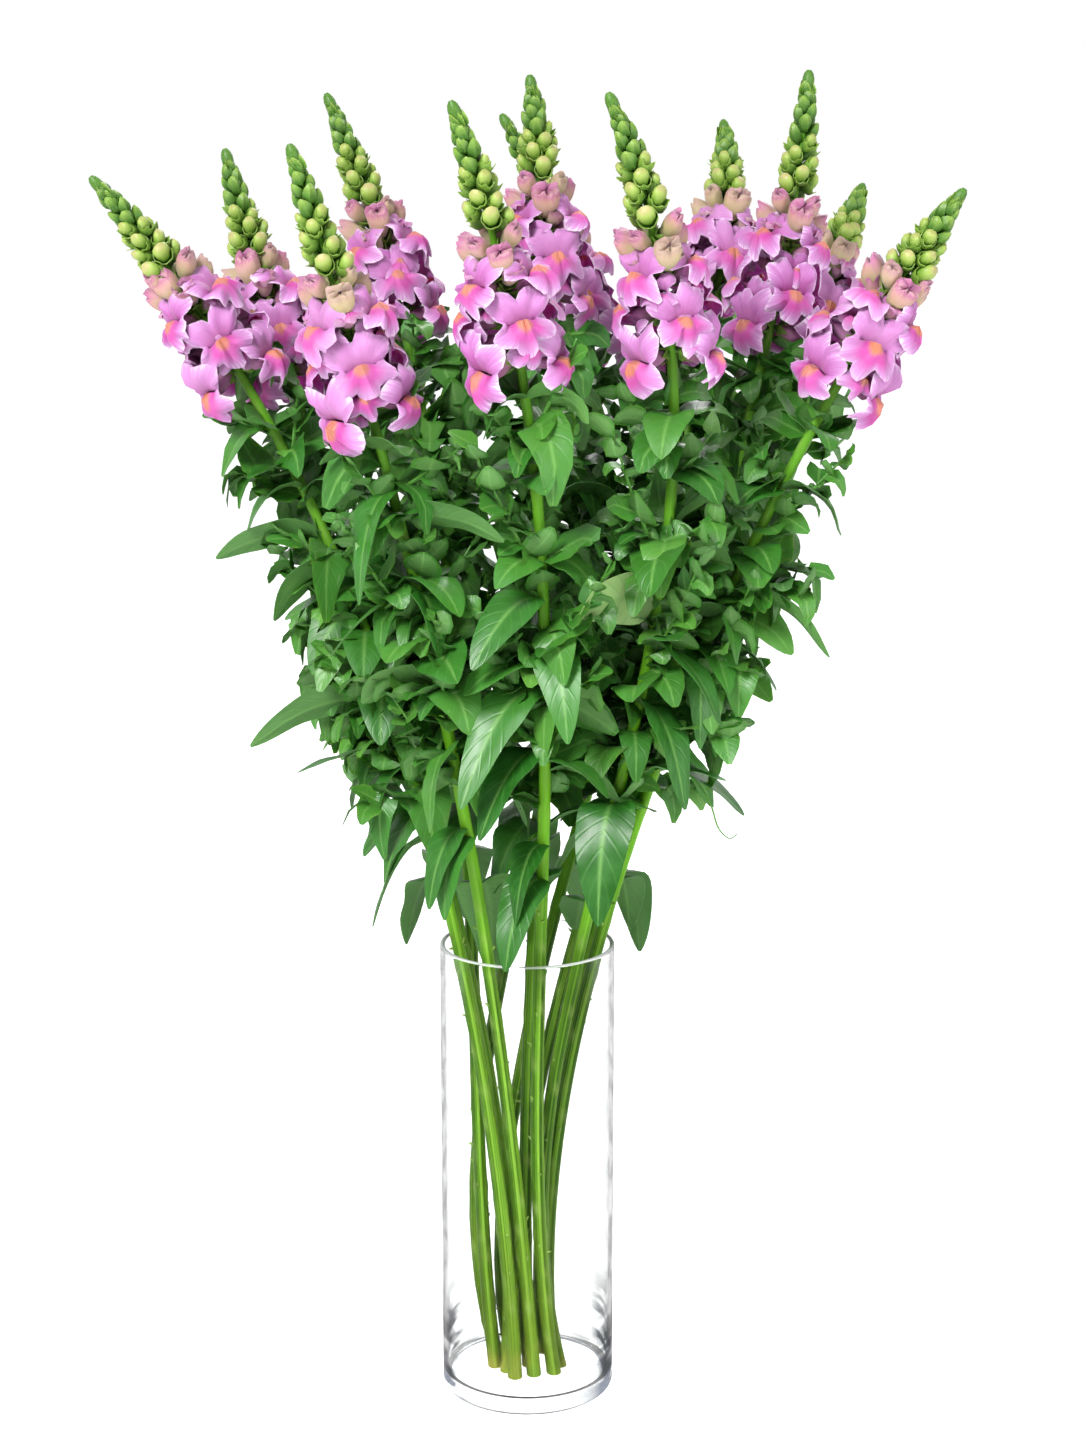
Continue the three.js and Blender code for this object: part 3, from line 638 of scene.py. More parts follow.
def add_flower(skin, axes, size, opening, rng, tint):
    """One corolla: a tube with a level mouth that a palate closes, two upper lobes and three
    lower ones. In a flower that is still shut the lips are pressed together."""
    columns, rows = FINE_GRID if opening > FINE_ABOVE else COARSE_GRID
    opening = smooth((opening - 0.25) / 0.5)
    theta = np.arange(columns) * 360 // columns
    turn = np.radians(theta)
    lines = SHUT_LINES + (OPEN_LINES - SHUT_LINES) * opening
    radius, forward = through(LINE_POINTS, rows, LINE_PACE) @ lines[..., theta]
    v = np.linspace(0, 1, rows)[:, None] ** LINE_PACE
    lip = smooth((v - 0.6) / 0.4)
    waves = sum(strength * np.sin(k * turn + rng.uniform(*ANY_PHASE)) for k, strength in RUFFLES)
    forward = forward + RUFFLE_DEPTH * lip * waves * mix(0.5, 1.0, opening)
    radius = radius * (1 + mix(0.07, 0.05, opening) * lip * np.roll(waves, columns // 7))

    across, rise = -radius * np.sin(turn), radius * np.cos(turn)
    aside = theta - 180
    closed = MOUTH_SHUT * bell(v, MOUTH_AT, MOUTH_LONG) * opening
    pressed = smooth((v - 0.45) / 0.4) * (1 - opening) * SHUT_SQUEEZE
    rise = rise * (1 - np.maximum(closed, pressed))
    across = across * (1 + 0.1 * pressed)
    hump = bell(v, PALATE_AT, PALATE_LONG)
    under = bell(aside, 0, PALATE_WIDE)
    groove = GROOVE_DEPTH * (bell(aside, 0, GROOVE_WIDE) * hump)
    rise = rise + (PALATE_LIFT * under * hump - groove) * opening
    forward = forward + (PALATE_FORWARD * under * hump - groove) * opening

    shape = size * rng.uniform(0.97, 1.05) * mix(1.0, OPEN_SIZE, opening)
    droop = rng.uniform(-0.02, 0.1) * opening
    rise = rise * rng.uniform(0.95, 1.05) - droop * forward ** 2 / FLOWER_LENGTH
    across = across * rng.uniform(0.93, 1.07)
    across = across + rng.uniform(-0.08, 0.08) * forward ** 2 / FLOWER_LENGTH
    grid = axes.at(across * shape, rise * shape, forward * shape)
    thickness = mix(*PETAL_THICKNESS, smooth(v)) * size
    patch = bell(aside, 0, PATCH_WIDE) * bell(v, PATCH_AT, PATCH_LONG)
    note = stack(v, patch, opening, tint)
    spot = stack(np.cos(turn) * 3, np.sin(turn) * 3, v * 2 + rng.uniform(*ANY_PLACE))
    skin.sheet(grid, thickness, note, spot, loop=True)


def late_blooms(stem, rng):
    """The florets between the whorls, which the CAD model leaves out."""
    blooms = []
    start = rng.uniform(0, 360)
    for i, (share, elevation, size, opening) in enumerate(LATE_WHORLS):
        for j in range(WHORL_SIZE):
            azimuth = start + (j + i / 2) * 360 / WHORL_SIZE + rng.uniform(-12, 12)
            at = spike_at(share + rng.uniform(-0.02, 0.02))
            axes = stem.branch(at, azimuth, elevation + rng.uniform(-8, 8))
            blooms.append((axes, size * rng.uniform(0.92, 1.05), opening * rng.uniform(0.85, 1.15)))
    return blooms


def add_calyx(skin, axes, size, reach, width, rng, blunt=0.5):
    """Five sepals joined in a cup round the base of a flower or a bud, on a short stalk."""
    columns = 15 if blunt < 0.5 else 10
    theta = np.arange(columns) * 360 / columns
    lobe = (0.5 + 0.5 * np.cos(np.radians(theta * 5))) ** blunt
    uneven = 1 + 0.14 * np.sin(np.radians(theta + rng.uniform(0, 360)))
    end = reach * mix(0.35, 1.0, lobe) * uneven
    radius = stack(0.9, 1.2, width * 0.92, width * mix(1.04, 1.09, lobe)).T
    forward = stack(-4.0, 0.2, 0.3 * end + 0.6, end).T
    angle = theta + rng.uniform(0, 72)
    grid = axes.round(-angle, radius * size, forward * size)
    v = np.linspace(0, 1, len(radius))[:, None]
    note = stack(v, 0.25 * lobe, 0.0, rng.uniform(*ANY_TINT))
    turn = np.radians(angle)
    spot = stack(np.cos(turn), np.sin(turn), v * 2 + rng.uniform(*ANY_PLACE))
    skin.sheet(grid, CALYX_THICKNESS, note, spot, loop=True)


# ---- The green spike

SPIKE_BUDS = 28
SPIKE_LOW, SPIKE_TOP = spike_at(STEM_END) - 0.004, 0.985
SPIKE_WIDER = 1.08
SPIKE_HIGHER = (0.84, 1.1)
BUD_RADII = (5.0, 2.7)
BUD_SIDES = 10
CLOSED_BUD_WIDER = 1.12
BUD_STALK = 0.22
# The note of a bud that is wrapped in its sepals, and of one that shows.
CLOSED_NOTE, SHOWING_NOTE = 0.2, 1.0
# Radius and place along a bud: one that shows, and one still closed, which is more pointed.
BUD_LINE = ((0.4, 0.03), (0.72, 0.16), (0.92, 0.38), (1.02, 0.62), (0.95, 0.83), (0.55, 0.98))
CLOSED_LINE = ((0.5, 0.03), (0.84, 0.18), (1.02, 0.42), (0.98, 0.65), (0.66, 0.87), (0.2, 1.04))
CALYX_WIDER = 1.16
# How far up the spike the buds show out of their calyx, and how much of them it hides.
BARE_BELOW = 0.5
CALYX_REACH = (0.52, 0.82)
# The tip: where it sits, its small leaves, and the radii and places of the rings of its core.
TIP_AT, TIP_LEAVES_AT, TIP_LEAVES = 0.992, 0.985, 5
TIP_LEAF_LENGTH, TIP_LEAF_SUNK, TIP_LEAF_RISE = 7.5, 2.5, 84
TIP_CORE = ((2.6, -6), (3.7, -1), (3.7, 2.5), (2.9, 5.5), (1.4, 7.5))


def add_bud(skin, axes, length, radius, ripe, closed, rng):
    """A plump bud, bent a little upwards, on axes that point along it. A closed one is still
    wrapped in its sepals."""
    turn = ring_angles(BUD_SIDES)
    share, forward = np.array(CLOSED_LINE if closed else BUD_LINE).T[..., None]
    lips = 1 - 0.2 * np.cos(2 * turn + rng.uniform(-0.4, 0.4)) * smooth(forward * 2 - 0.4)
    lips = lips + 0.15 * closed * np.cos(5 * turn)
    bend = 0.22 * length * forward ** 2
    grid = axes.at(
        -radius * share * lips * np.sin(turn), radius * share * lips * np.cos(turn) + bend,
        length * forward,
    )
    spot = stack(np.cos(turn), np.sin(turn), forward * 2 + rng.uniform(*ANY_PLACE))
    inside = CLOSED_NOTE if closed else SHOWING_NOTE
    skin.tube(grid, stack(forward + 0 * turn, inside, ripe, rng.uniform(*ANY_TINT)), spot)


def build_spike(stem, green, rng):
    """The buds of the spike in a spiral, each in its calyx, and the small leaves of the tip."""
    start = rng.uniform(0, 360)
    for i in range(SPIKE_BUDS):
        t = 1 - (1 - i / SPIKE_BUDS) ** 1.1
        u = mix(SPIKE_LOW, SPIKE_TOP, t)
        here = stem.axes(u)
        reach = mix(*SPIKE_REACH, t ** 0.75) * SPIKE_WIDER * rng.uniform(0.88, 1.06)
        reach *= 1 - 0.5 * t ** 5
        lift = mix(*SPIKE_LIFT, t) * mix(*SPIKE_HIGHER, t) * rng.uniform(0.8, 1.15)
        out = here.out(math.radians(start + i * GOLDEN_ANGLE + rng.uniform(-14, 14)))
        root = here.centre + out * stem_radius(u) * 0.6
        tip = here.centre + out * reach + here.ahead * lift
        ahead, length = unit(tip - root), np.linalg.norm(tip - root)
        radius = mix(*BUD_RADII, t ** 0.6) * rng.uniform(0.88, 1.06)
        stalk_length = BUD_STALK * length * (1 - t)
        axes = here.beside(root + ahead * stalk_length, ahead)
        length -= stalk_length
        closed = float(t > BARE_BELOW)
        thick = radius * mix(1, CLOSED_BUD_WIDER, closed)
        add_bud(green, axes, length, thick, (1 - t) ** 1.5, closed, rng)
        if not closed:
            reach = length * mix(*CALYX_REACH, t / BARE_BELOW)
            add_calyx(green, axes, 1, reach, radius * CALYX_WIDER, rng, 0.4)
    for i in range(TIP_LEAVES):
        add_tip_leaf(green, stem, i * 360 / TIP_LEAVES + start, rng)
    top = stem.axes(TIP_AT)
    rings = [top.round(-np.arange(8) * 45, *ring) for ring in TIP_CORE]
    green.tube(np.stack(rings), np.array([0.6, CLOSED_NOTE, 0, 0.4]), np.zeros(3))


def add_tip_leaf(skin, stem, azimuth, rng):
    """A small pointed leaf of the spike's tip."""
    axes = stem.branch(TIP_LEAVES_AT, azimuth, TIP_LEAF_RISE + rng.uniform(-12, 12))
    root = axes.centre - axes.ahead * TIP_LEAF_SUNK
    tip = root + axes.ahead * (TIP_LEAF_LENGTH + TIP_LEAF_SUNK)
    add_leaf(
        skin, root, tip, TIP_LEAF_LENGTH / 2, 0, rng, rows=4, columns=4, crown=0.1, young=0.3,
        plain=True,
    )


# ---- Leaves

LEAF_CROWN_OUT = 0.36
LEAF_FOLD = 0.2
# Rows of a leaf lie closer together towards its tip, which is a little blunt.
LEAF_ROWS_PACE = 1.3
LEAF_BLUNT, SMALL_LEAF_BLUNT = 0.996, 0.982
SMALL_LEAF_ROWS = 8
# What is added to the half width, at the root and at the tip.
LEAF_STALK = (0.7, 0.12)
LEAF_THICKNESS = (0.55, 0.3)
# The stem and roll of the one leaf that shows its pale underside, how far it is turned over, and
# the note it carries. Its underside is painted lighter than its own pale green, as painted light
# against the shade it hangs in.
TURNED_LEAF = (8, -30)
TURNED_BY = -70
PALE_AND_LIT = 2.0
# Stems that show through between the shoots: on which side, and how far round. One more is bare
# on its right above a height.
BARE_STEMS = (1, 3, 5, 8, 12)
BARE_SIDE, BARE_ARC = 270, 48
SLIM_STEM = 12
SLIM_SIDE, SLIM_ARC, SLIM_ABOVE = 0, 80, 580
SHOOTS_FROM = 392
SHOOTS_TO_SHARE = -0.03
SHOOT_GAP = 15
TWIG_RADII = (1.3, 0.6)
TWIG_SIDES, TWIG_RINGS = 5, 5
TWIG_SUNK = 2
TWIG_NOTE = (0.5, 0.1, 0.8, 0.5)
# Lengths, number of leaves, elevations.
SHORT_SHOOT = ((30, 52), 7, (0, 60))
LONG_SHOOT = ((66, 100), 15, (48, 74))
LONG_SHOOTS_AT = (420, 455, 490, 525, 560)
# Broad shoots that close the gaps between the stems at the back.
BROAD_SHOOT = ((34, 62), 7, (0, 50))
BROAD_STEMS = (4, 6, 7, 9, 11)
BROAD_SHOOTS_AT = (540, 556, 572, 588, 604, 618)
BROAD_LEAF = 1.25
# Shoots that fill out the sides and one gap: the way they point, and their heights.
SIDE_SHOOT = ((30, 48), 7, (-20, 30))
SIDE_HEIGHTS = (402, 418, 434, 449, 464, 479, 494, 509)
SIDE_SHOOTS = {
    1: (185, SIDE_HEIGHTS + (588, 602)),
    2: (172, SIDE_HEIGHTS),
    4: (0, (622, 636, 650, 528, 542)),
    11: (15, SIDE_HEIGHTS[3:]),
    12: (350, SIDE_HEIGHTS[3:] + (540, 554)),
}
SIDE_ARC = 45
SIDE_LEAF = 1.3
SIDE_SEED = 100
# A thin bare twig that hangs out of the leaves and ends in a hook.
CURL_STEM = 12
CURL = (
    (88, -30, 428), (103, -34, 414), (113, -36, 399), (118, -36, 384), (125, -36, 377),
    (130, -36, 380),
)
CURL_RADII = (0.8, 0.35)
CURL_NOTE = (0.5, 0.1, 0.9, 0.5)


def add_leaf(
    skin, root, tip, half_width, roll, rng, rows=15, columns=6, crown=0.16, young=0.0, curl=0.0,
    plain=False,
):
    """A leaf on a bow from its root to its tip, folded along the midrib, with waved edges. A
    plain one is nearly straight and flat. A small one gets a sharp rim."""
    lively = 0 if plain else 1
    small = rows < SMALL_LEAF_ROWS
    reach = tip - root
    length = np.linalg.norm(reach)
    out = unit(np.array([reach[0], reach[1], 0.0]) + 1e-6)
    knee = root + out * LEAF_CROWN_OUT * length * (0.5 if plain else 1) + UP * crown * length
    if plain:
        knee = knee + reach * 0.2
    t = 1 - (1 - np.linspace(0, 1, rows + 1)[:, None]) ** LEAF_ROWS_PACE
    spine = (1 - t) ** 2 * root + 2 * t * (1 - t) * knee + t * t * tip
    spine = spine - UP * curl * length * smooth((t - 0.55) / 0.45) ** 2 * 0.5
    spine = spine - out * curl * length * smooth((t - 0.7) / 0.3) ** 2 * 0.35
    ahead = unit(np.gradient(spine, axis=0))
    across = unit(np.cross(UP, out))
    level = np.cross(ahead, across)
    twist = rng.uniform(-12, 12) + rng.uniform(-38, 38) * t
    turn = np.radians(-roll + lively * twist)
    side = across * np.cos(turn) + level * np.sin(turn)
    face = np.cross(ahead, side)

    along = np.clip(t, 0, SMALL_LEAF_BLUNT if small else LEAF_BLUNT)
    width = half_width * 1.06 * np.sin(math.pi * along ** 0.82) ** 0.6
    width = width * mix(0.22, 1.0, smooth(t / 0.2)) + mix(*LEAF_STALK, t)
    s = np.linspace(-1, 1, columns + 1)
    s = np.sign(s) * np.abs(s) ** 0.85
    aside = np.abs(s)
    fold = LEAF_FOLD * rng.uniform(0.5, 1.5)
    beat = rng.uniform(1.4, 2.6) * ANY_PHASE[1] * t
    left, right = rng.uniform(*ANY_PHASE, 2)
    wave = np.where(s < 0, np.sin(beat + left), np.sin(beat + right)) * rng.uniform(0.05, 0.13)
    cup = fold * (1.75 * aside - 1.15 * s * s)
    rise = width * (cup + wave * aside ** 2 * smooth(t * 4) * lively)
    rise = rise - np.where(aside < 0.05, 0.35 * smooth(t * 6) * (1 - t), 0)
    grid = spine[:, None] + side[:, None] * (width * s)[..., None] + face[:, None] * rise[..., None]
    thickness = mix(*LEAF_THICKNESS, aside ** 2)
    thickness = thickness + (0.3 if plain else 1.1) * (1 - smooth(t / 0.16)) * (1 - s * s)
    note = stack(t, aside, young, rng.uniform(*ANY_TINT))
    spot = stack(t * length / 10 + rng.uniform(*ANY_LEAF_PLACE), s * width / 10, 0.0)
    skin.sheet(grid, thickness, note, spot, sharp=small)


def add_shoot(skin, stem, u, azimuth, rng, kind=SHORT_SHOOT, leaf_size=1.0):
    """A side shoot: a thin bowed twig with small leaves up it."""
    lengths, leaves, elevations = kind
    bough = stem.branch(u, azimuth, rng.uniform(*elevations))
    length = rng.uniform(*lengths)
    bow = UP * rng.uniform(-0.1, 0.35) * length
    t = np.linspace(0, 1, TWIG_RINGS)[:, None]
    centre = bough.centre + bough.ahead * (length * t - TWIG_SUNK) + bow * t * t
    turn = -ring_angles(TWIG_SIDES)[:, None]
    across = bough.side * np.cos(turn) + bough.front * np.sin(turn)
    rings = centre[:, None] + across * mix(*TWIG_RADII, t)[..., None]
    skin.tube(rings, np.array(TWIG_NOTE), np.zeros(3))
    for k in range(leaves):
        share = (k + 0.6) / leaves
        at = bough.centre + bough.ahead * (length * share - TWIG_SUNK) + bow * share ** 2
        lean = math.radians(rng.uniform(-5, 60) + 25 * share)
        reach = bough.leaning(math.radians(k * GOLDEN_ANGLE + azimuth), lean)
        reach *= rng.uniform(17, 29) * (1.1 - 0.5 * share) * leaf_size
        add_leaf(
            skin, at - reach * 0.05, at + reach, np.linalg.norm(reach) * rng.uniform(0.31, 0.44),
            rng.uniform(-50, 50), rng, rows=5, columns=4, crown=rng.uniform(0, 0.35),
            young=rng.uniform(0.1, 1) ** 1.4, curl=rng.uniform(-0.2, 0.8),
        )


def add_axil_leaves(skin, stem, u, azimuth, rng):
    """Two middling leaves at the root of a side shoot."""
    for side in (-1, 1):
        bough = stem.branch(u, azimuth + side * rng.uniform(20, 80), rng.uniform(-35, 40))
        length = rng.uniform(26, 44)
        add_leaf(
            skin, bough.centre - bough.ahead * 3, bough.centre + bough.ahead * length,
            length * rng.uniform(0.27, 0.36), rng.uniform(-40, 40), rng, rows=7, columns=4,
            crown=rng.uniform(0.05, 0.4), young=rng.uniform(0, 0.6), curl=rng.uniform(0, 0.7),
        )


def add_curl(skin):
    """The bare twig with its hook."""
    line = through(len(CURL), 20) @ np.array(CURL, float)
    ahead = unit(np.gradient(line, axis=0))
    side = unit(np.cross(ahead, EAST))
    over = np.cross(ahead, side)
    turn = ring_angles(TWIG_SIDES)[:, None]
    across = side[:, None] * np.cos(turn) + over[:, None] * np.sin(turn)
    radius = np.linspace(*CURL_RADII, len(line))[:, None, None]
    skin.tube(line[:, None] + across * radius, np.array(CURL_NOTE), np.zeros(3))


def is_bare(stem, azimuth, height):
    """Where no side shoot grows, so that a stalk shows or the outline stays slim."""

    def within(middle, arc):
        return abs((azimuth - middle + 180) % 360 - 180) < arc

    slim = stem.number == SLIM_STEM and height > SLIM_ABOVE and within(SLIM_SIDE, SLIM_ARC)
    return slim or (stem.number in BARE_STEMS and within(BARE_SIDE, BARE_ARC))


def build_leaves(stem, leaves, tufts, rng):
    """All the leaves of a stem: the large ones, the tufts, and short shoots with leaves in their
    axils. Some stems have further shoots."""
    skin = Skin()
    for root, tip, half_width, roll in leaves:
        pale = (stem.number, roll) == TURNED_LEAF
        add_leaf(
            skin, root, tip, half_width, roll + (TURNED_BY if pale else 0), rng,
            curl=rng.uniform(-0.02, 0.1), young=PALE_AND_LIT if pale else 0.0,
        )
    for u, tips in tufts:
        root = stem.at(u)
        for tip in tips:
            half_width = np.linalg.norm(tip - root) * rng.uniform(0.25, 0.34)
            add_leaf(
                skin, root, tip, half_width, rng.uniform(-30, 30), rng, rows=10, columns=4,
                crown=0.24, young=rng.uniform(0.1, 0.5), curl=rng.uniform(0, 0.3),
            )
    top = stem.at(spike_at(SHOOTS_TO_SHARE))[2]
    height = SHOOTS_FROM + rng.uniform(0, SHOOT_GAP)
    azimuth = rng.uniform(0, 360)
    while height < top:
        azimuth += GOLDEN_ANGLE + rng.uniform(-15, 15)
        if not is_bare(stem, azimuth, height):
            add_shoot(skin, stem, stem.at_height(height), azimuth, rng)
            add_axil_leaves(skin, stem, stem.at_height(height), azimuth, rng)
        height += SHOOT_GAP * rng.uniform(0.8, 1.2)
    for height in LONG_SHOOTS_AT:
        azimuth += GOLDEN_ANGLE + rng.uniform(-20, 20)
        at = stem.at_height(height + rng.uniform(-15, 15))
        add_shoot(skin, stem, at, azimuth, rng, LONG_SHOOT)
    if stem.number == CURL_STEM:
        add_curl(skin)
    for height in BROAD_SHOOTS_AT if stem.number in BROAD_STEMS else ():
        azimuth += GOLDEN_ANGLE + rng.uniform(-20, 20)
        add_shoot(skin, stem, stem.at_height(height), azimuth, rng, BROAD_SHOOT, BROAD_LEAF)
    towards, heights = SIDE_SHOOTS.get(stem.number, (0, ()))
    rng = np.random.default_rng(SIDE_SEED + stem.number)
    for height in heights:
        azimuth = towards + rng.uniform(-SIDE_ARC, SIDE_ARC)
        add_shoot(skin, stem, stem.at_height(height), azimuth, rng, SIDE_SHOOT, SIDE_LEAF)
    return skin


# ---- Stalks

STALK_SIDES, STALK_RINGS = 12, 120
STALK_END = 0.985
# Pairs of leaf scars, the first of them, how far each strays, and their length and width.
SCARS, SCARS_FROM, SCAR_STRAYS, SCAR_LONG, SCAR_WIDE = 26, 0.03, 0.008, 0.004, 0.5
CUT_LONG = 0.006
STUBS = 12
STUB_SIDES = 4


def build_stalk(stem, rng):
    """The stalk: faintly ridged, with a scar or a stub where each lost leaf was."""
    u = np.linspace(0, STALK_END, STALK_RINGS)
    centre = stem.at(u)
    ahead = unit(np.gradient(centre, axis=0))
    ahead[0] = UP
    side = unit(EAST - ahead * (ahead @ EAST)[:, None])
    front = np.cross(ahead, side)
    turn = -ring_angles(STALK_SIDES)
    u = u[:, None]
    radius = stem_radius(u) * (0.95 + 0.035 * np.cos(4 * turn + 9 * u))
    scar = np.zeros((STALK_RINGS, STALK_SIDES))
    strays = rng.uniform(-SCAR_STRAYS, SCAR_STRAYS, SCARS)
    for at in np.linspace(SCARS_FROM, NECK_AT, SCARS) + strays:
        facing = rng.uniform(*ANY_PHASE)
        for aside in (0, math.pi):
            apart = np.angle(np.exp(1j * (turn - facing - aside)))
            scar += np.exp(-(((u - at) / SCAR_LONG) ** 2) - (apart / SCAR_WIDE) ** 2)
    radius = radius * (1 + 0.16 * scar) * (1 + 0.05 * bell(u, 0, CUT_LONG))
    grid = (
        centre[:, None]
        + side[:, None] * (radius * np.cos(turn))[..., None]
        + front[:, None] * (radius * np.sin(turn))[..., None]
    )
    skin = Skin()
    note = stack(u, np.clip(scar, 0, 1), 0.0, rng.uniform(*ANY_TINT))
    skin.tube(grid, note, stack(np.cos(turn) * 2, np.sin(turn) * 2, u * 8 + stem.number))
    for at in rng.uniform(0.02, RIM_AT + 0.06, STUBS):
        add_stub(skin, stem, at, rng)
    return skin


def add_stub(skin, stem, u, rng):
    """What is left of a leaf stalk that was stripped off."""
    axes = stem.axes(u)
    facing, rise = rng.uniform(*ANY_PHASE), rng.uniform(0.1, 1.2)
    place = axes.centre + axes.out(facing) * stem_radius(u) * 0.8
    root = axes.beside(place, axes.leaning(facing, rise))
    length = rng.uniform(2, 4.5)
    turns = -np.arange(STUB_SIDES) * 360 / STUB_SIDES
    line = ((1.1, -0.5), (0.8, length * 0.5), (0.35, length))
    rings = [root.round(turns, *ring) for ring in line]
    skin.tube(np.stack(rings), np.array([u, 1.0, 0, 0.5]), np.zeros(3))


# ---- The vase

VASE_SIDES = 128
CENTRE_HOLE = 0.6


def arc(middle, radius, first, last, steps=6):
    """Points on an arc of the vase's section."""
    turns = np.radians(np.linspace(first, last, steps + 1))
    return [(middle[0] + radius * math.cos(a), middle[1] + radius * math.sin(a)) for a in turns]


def build_vase():
    """A plain cylinder of clear glass with a thick foot and a fire-polished rim."""
    inner = VASE_RADIUS - VASE_WALL
    lip = VASE_WALL / 2
    profile = [
        (CENTRE_HOLE, 0),
        (VASE_RADIUS * 0.6, 0),
        (VASE_RADIUS - VASE_EDGE - 1, 0),
        *arc((VASE_RADIUS - VASE_EDGE, VASE_EDGE), VASE_EDGE, -90, 0),
        (VASE_RADIUS, VASE_EDGE + 1),
        (VASE_RADIUS, VASE_HEIGHT * 0.5),
        (VASE_RADIUS, VASE_HEIGHT - lip - 0.5),
        *arc((VASE_RADIUS - lip, VASE_HEIGHT - lip), lip, 0, 180, 10),
        (inner, VASE_HEIGHT - lip - 0.5),
        (inner, VASE_HEIGHT * 0.5),
        (inner, VASE_BASE + VASE_COVE + 1),
        *arc((inner - VASE_COVE, VASE_BASE + VASE_COVE), VASE_COVE, 0, -90),
        (inner - VASE_COVE - 1, VASE_BASE),
        (inner * 0.6, VASE_BASE),
        (CENTRE_HOLE, VASE_BASE),
    ]
    radius, height = np.array(profile).T[..., None]
    turn = ring_angles(VASE_SIDES)
    skin = Skin()
    rings = stack(radius * np.cos(turn), radius * np.sin(turn), height)
    skin.tube(rings, np.array([0.0, 0, 0, 1]), np.zeros(3))
    return skin


# ---- Materials

# How bright the studio is: for the camera, for dull surfaces, and for reflections, which see it
# dark in front, bright behind and with a dark flag on either side.
BACKDROP_LIGHT = 1
STUDIO_LIGHT = 0.46
FRONT_GLOSS, BACK_GLOSS = 0.04, 0.95
FLAG_GLOSS = 0.12
FLOOR_GLOW = 0.62
WHITE = (1, 1, 1)
# Where the outer wall of the vase begins, as a share of its radius, and how much of its rim is
# whitened as a painted highlight.
OUTER_WALL = 0.95
RIM_HIGHLIGHT = 1.2


class Nodes:
    """Shader nodes, put together by short calls that each give back a socket."""

    def __init__(self, tree):
        self.tree = tree

    def node(self, kind, settings=None, **inputs):
        node = self.tree.nodes.new("ShaderNode" + kind)
        for key, value in (settings or {}).items():
            setattr(node, key, value)
        for key, value in inputs.items():
            self.feed(node.inputs[key.replace("_", " ")], value)
        return node

    def feed(self, socket, value):
        """Links a socket to another, or sets it to a number or a colour."""
        if isinstance(value, bpy.types.NodeSocket):
            self.tree.links.new(value, socket)
        elif isinstance(value, tuple) and len(value) == 3 and socket.type == "RGBA":
            socket.default_value = (*value, 1)
        else:
            socket.default_value = value

    def place(self, *scale):
        """The point in the object, stretched if a scale is given."""
        place = self.node("TexCoord").outputs["Object"]
        return self.stretched(place, *scale) if scale else place

    def stretched(self, vector, *scale):
        return self.node("Mapping", Vector=vector, Scale=scale).outputs["Vector"]

    def noise(self, scale, detail, vector=None):
        vector = self.place() if vector is None else vector
        return self.node("TexNoise", Scale=scale, Detail=detail, Vector=vector).outputs["Fac"]

    def math(self, operation, a, b=0, clamp=False):
        node = self.node("Math", {"operation": operation, "use_clamp": clamp})
        self.feed(node.inputs[0], a)
        self.feed(node.inputs[1], b)
        return node.outputs[0]

    def times(self, a, b, clamp=False):
        return self.math("MULTIPLY", a, b, clamp)

    def plus(self, a, b):
        return self.math("ADD", a, b)

    def ramp(self, value, *stops):
        """A colour or grey ramp: pairs of a position and a colour or a number."""
        node = self.node("ValToRGB", Fac=value)
        elements = node.color_ramp.elements
        while len(elements) < len(stops):
            elements.new(0.5)
        for element, (position, colour) in zip(elements, stops):
            element.position = position
            element.color = (*colour, 1) if isinstance(colour, tuple) else (colour,) * 3 + (1,)
        return node.outputs["Color"]

    def blend(self, share, a, b):
        node = self.node("Mix", {"data_type": "RGBA"})
        for index, value in ((0, share), (6, a), (7, b)):
            self.feed(node.inputs[index], value)
        return node.outputs[2]

    def coats(self, colour, *coats):
        """A colour with others over it in turn: pairs of a share and a colour."""
        for share, coat in coats:
            colour = self.blend(share, colour, coat)
        return colour

    def either(self, share, first, second):
        """One shader, and another over it by a share."""
        node = self.node("MixShader", Fac=share)
        self.feed(node.inputs[1], first)
        self.feed(node.inputs[2], second)
        return node.outputs[0]

    def light_path(self, kind):
        """Whether the light that falls here has met a surface of this kind."""
        return self.math("MINIMUM", self.node("LightPath").outputs[kind], 1)


class Paint(Nodes):
    """A material for the pieces, round one Principled shader."""

    def __init__(self, name, **plain):
        self.material = bpy.data.materials.new(name)
        self.material.use_nodes = True
        super().__init__(self.material.node_tree)
        self.shader = self.tree.nodes["Principled BSDF"]
        for socket, value in plain.items():
            self.feed(self.shader.inputs[socket.replace("_", " ")], value)

    def note(self):
        """The four numbers that each point carries."""
        source = self.node("Attribute", {"attribute_name": "note"})
        parts = self.node("SeparateColor", Color=source.outputs["Color"])
        return [*parts.outputs, source.outputs["Alpha"]]

    def spot(self, *scale):
        spot = self.node("Attribute", {"attribute_name": "spot"}).outputs["Vector"]
        return self.stretched(spot, *scale) if scale else spot

    def cover(self, share, other):
        """Puts another shader over the material's own by a share."""
        surface = self.tree.nodes["Material Output"].inputs["Surface"]
        self.feed(surface, self.either(share, surface.links[0].from_socket, other.outputs[0]))

    def relief(self, height, strength, depth):
        """Bumps of a depth in metres."""
        bump = self.node("Bump", Height=height, Strength=strength, Distance=depth)
        self.feed(self.shader.inputs["Normal"], bump.outputs["Normal"])

    def finish(self, colour, roughness):
        self.feed(self.shader.inputs["Base Color"], colour)
        self.feed(self.shader.inputs["Roughness"], roughness)
        return self.material


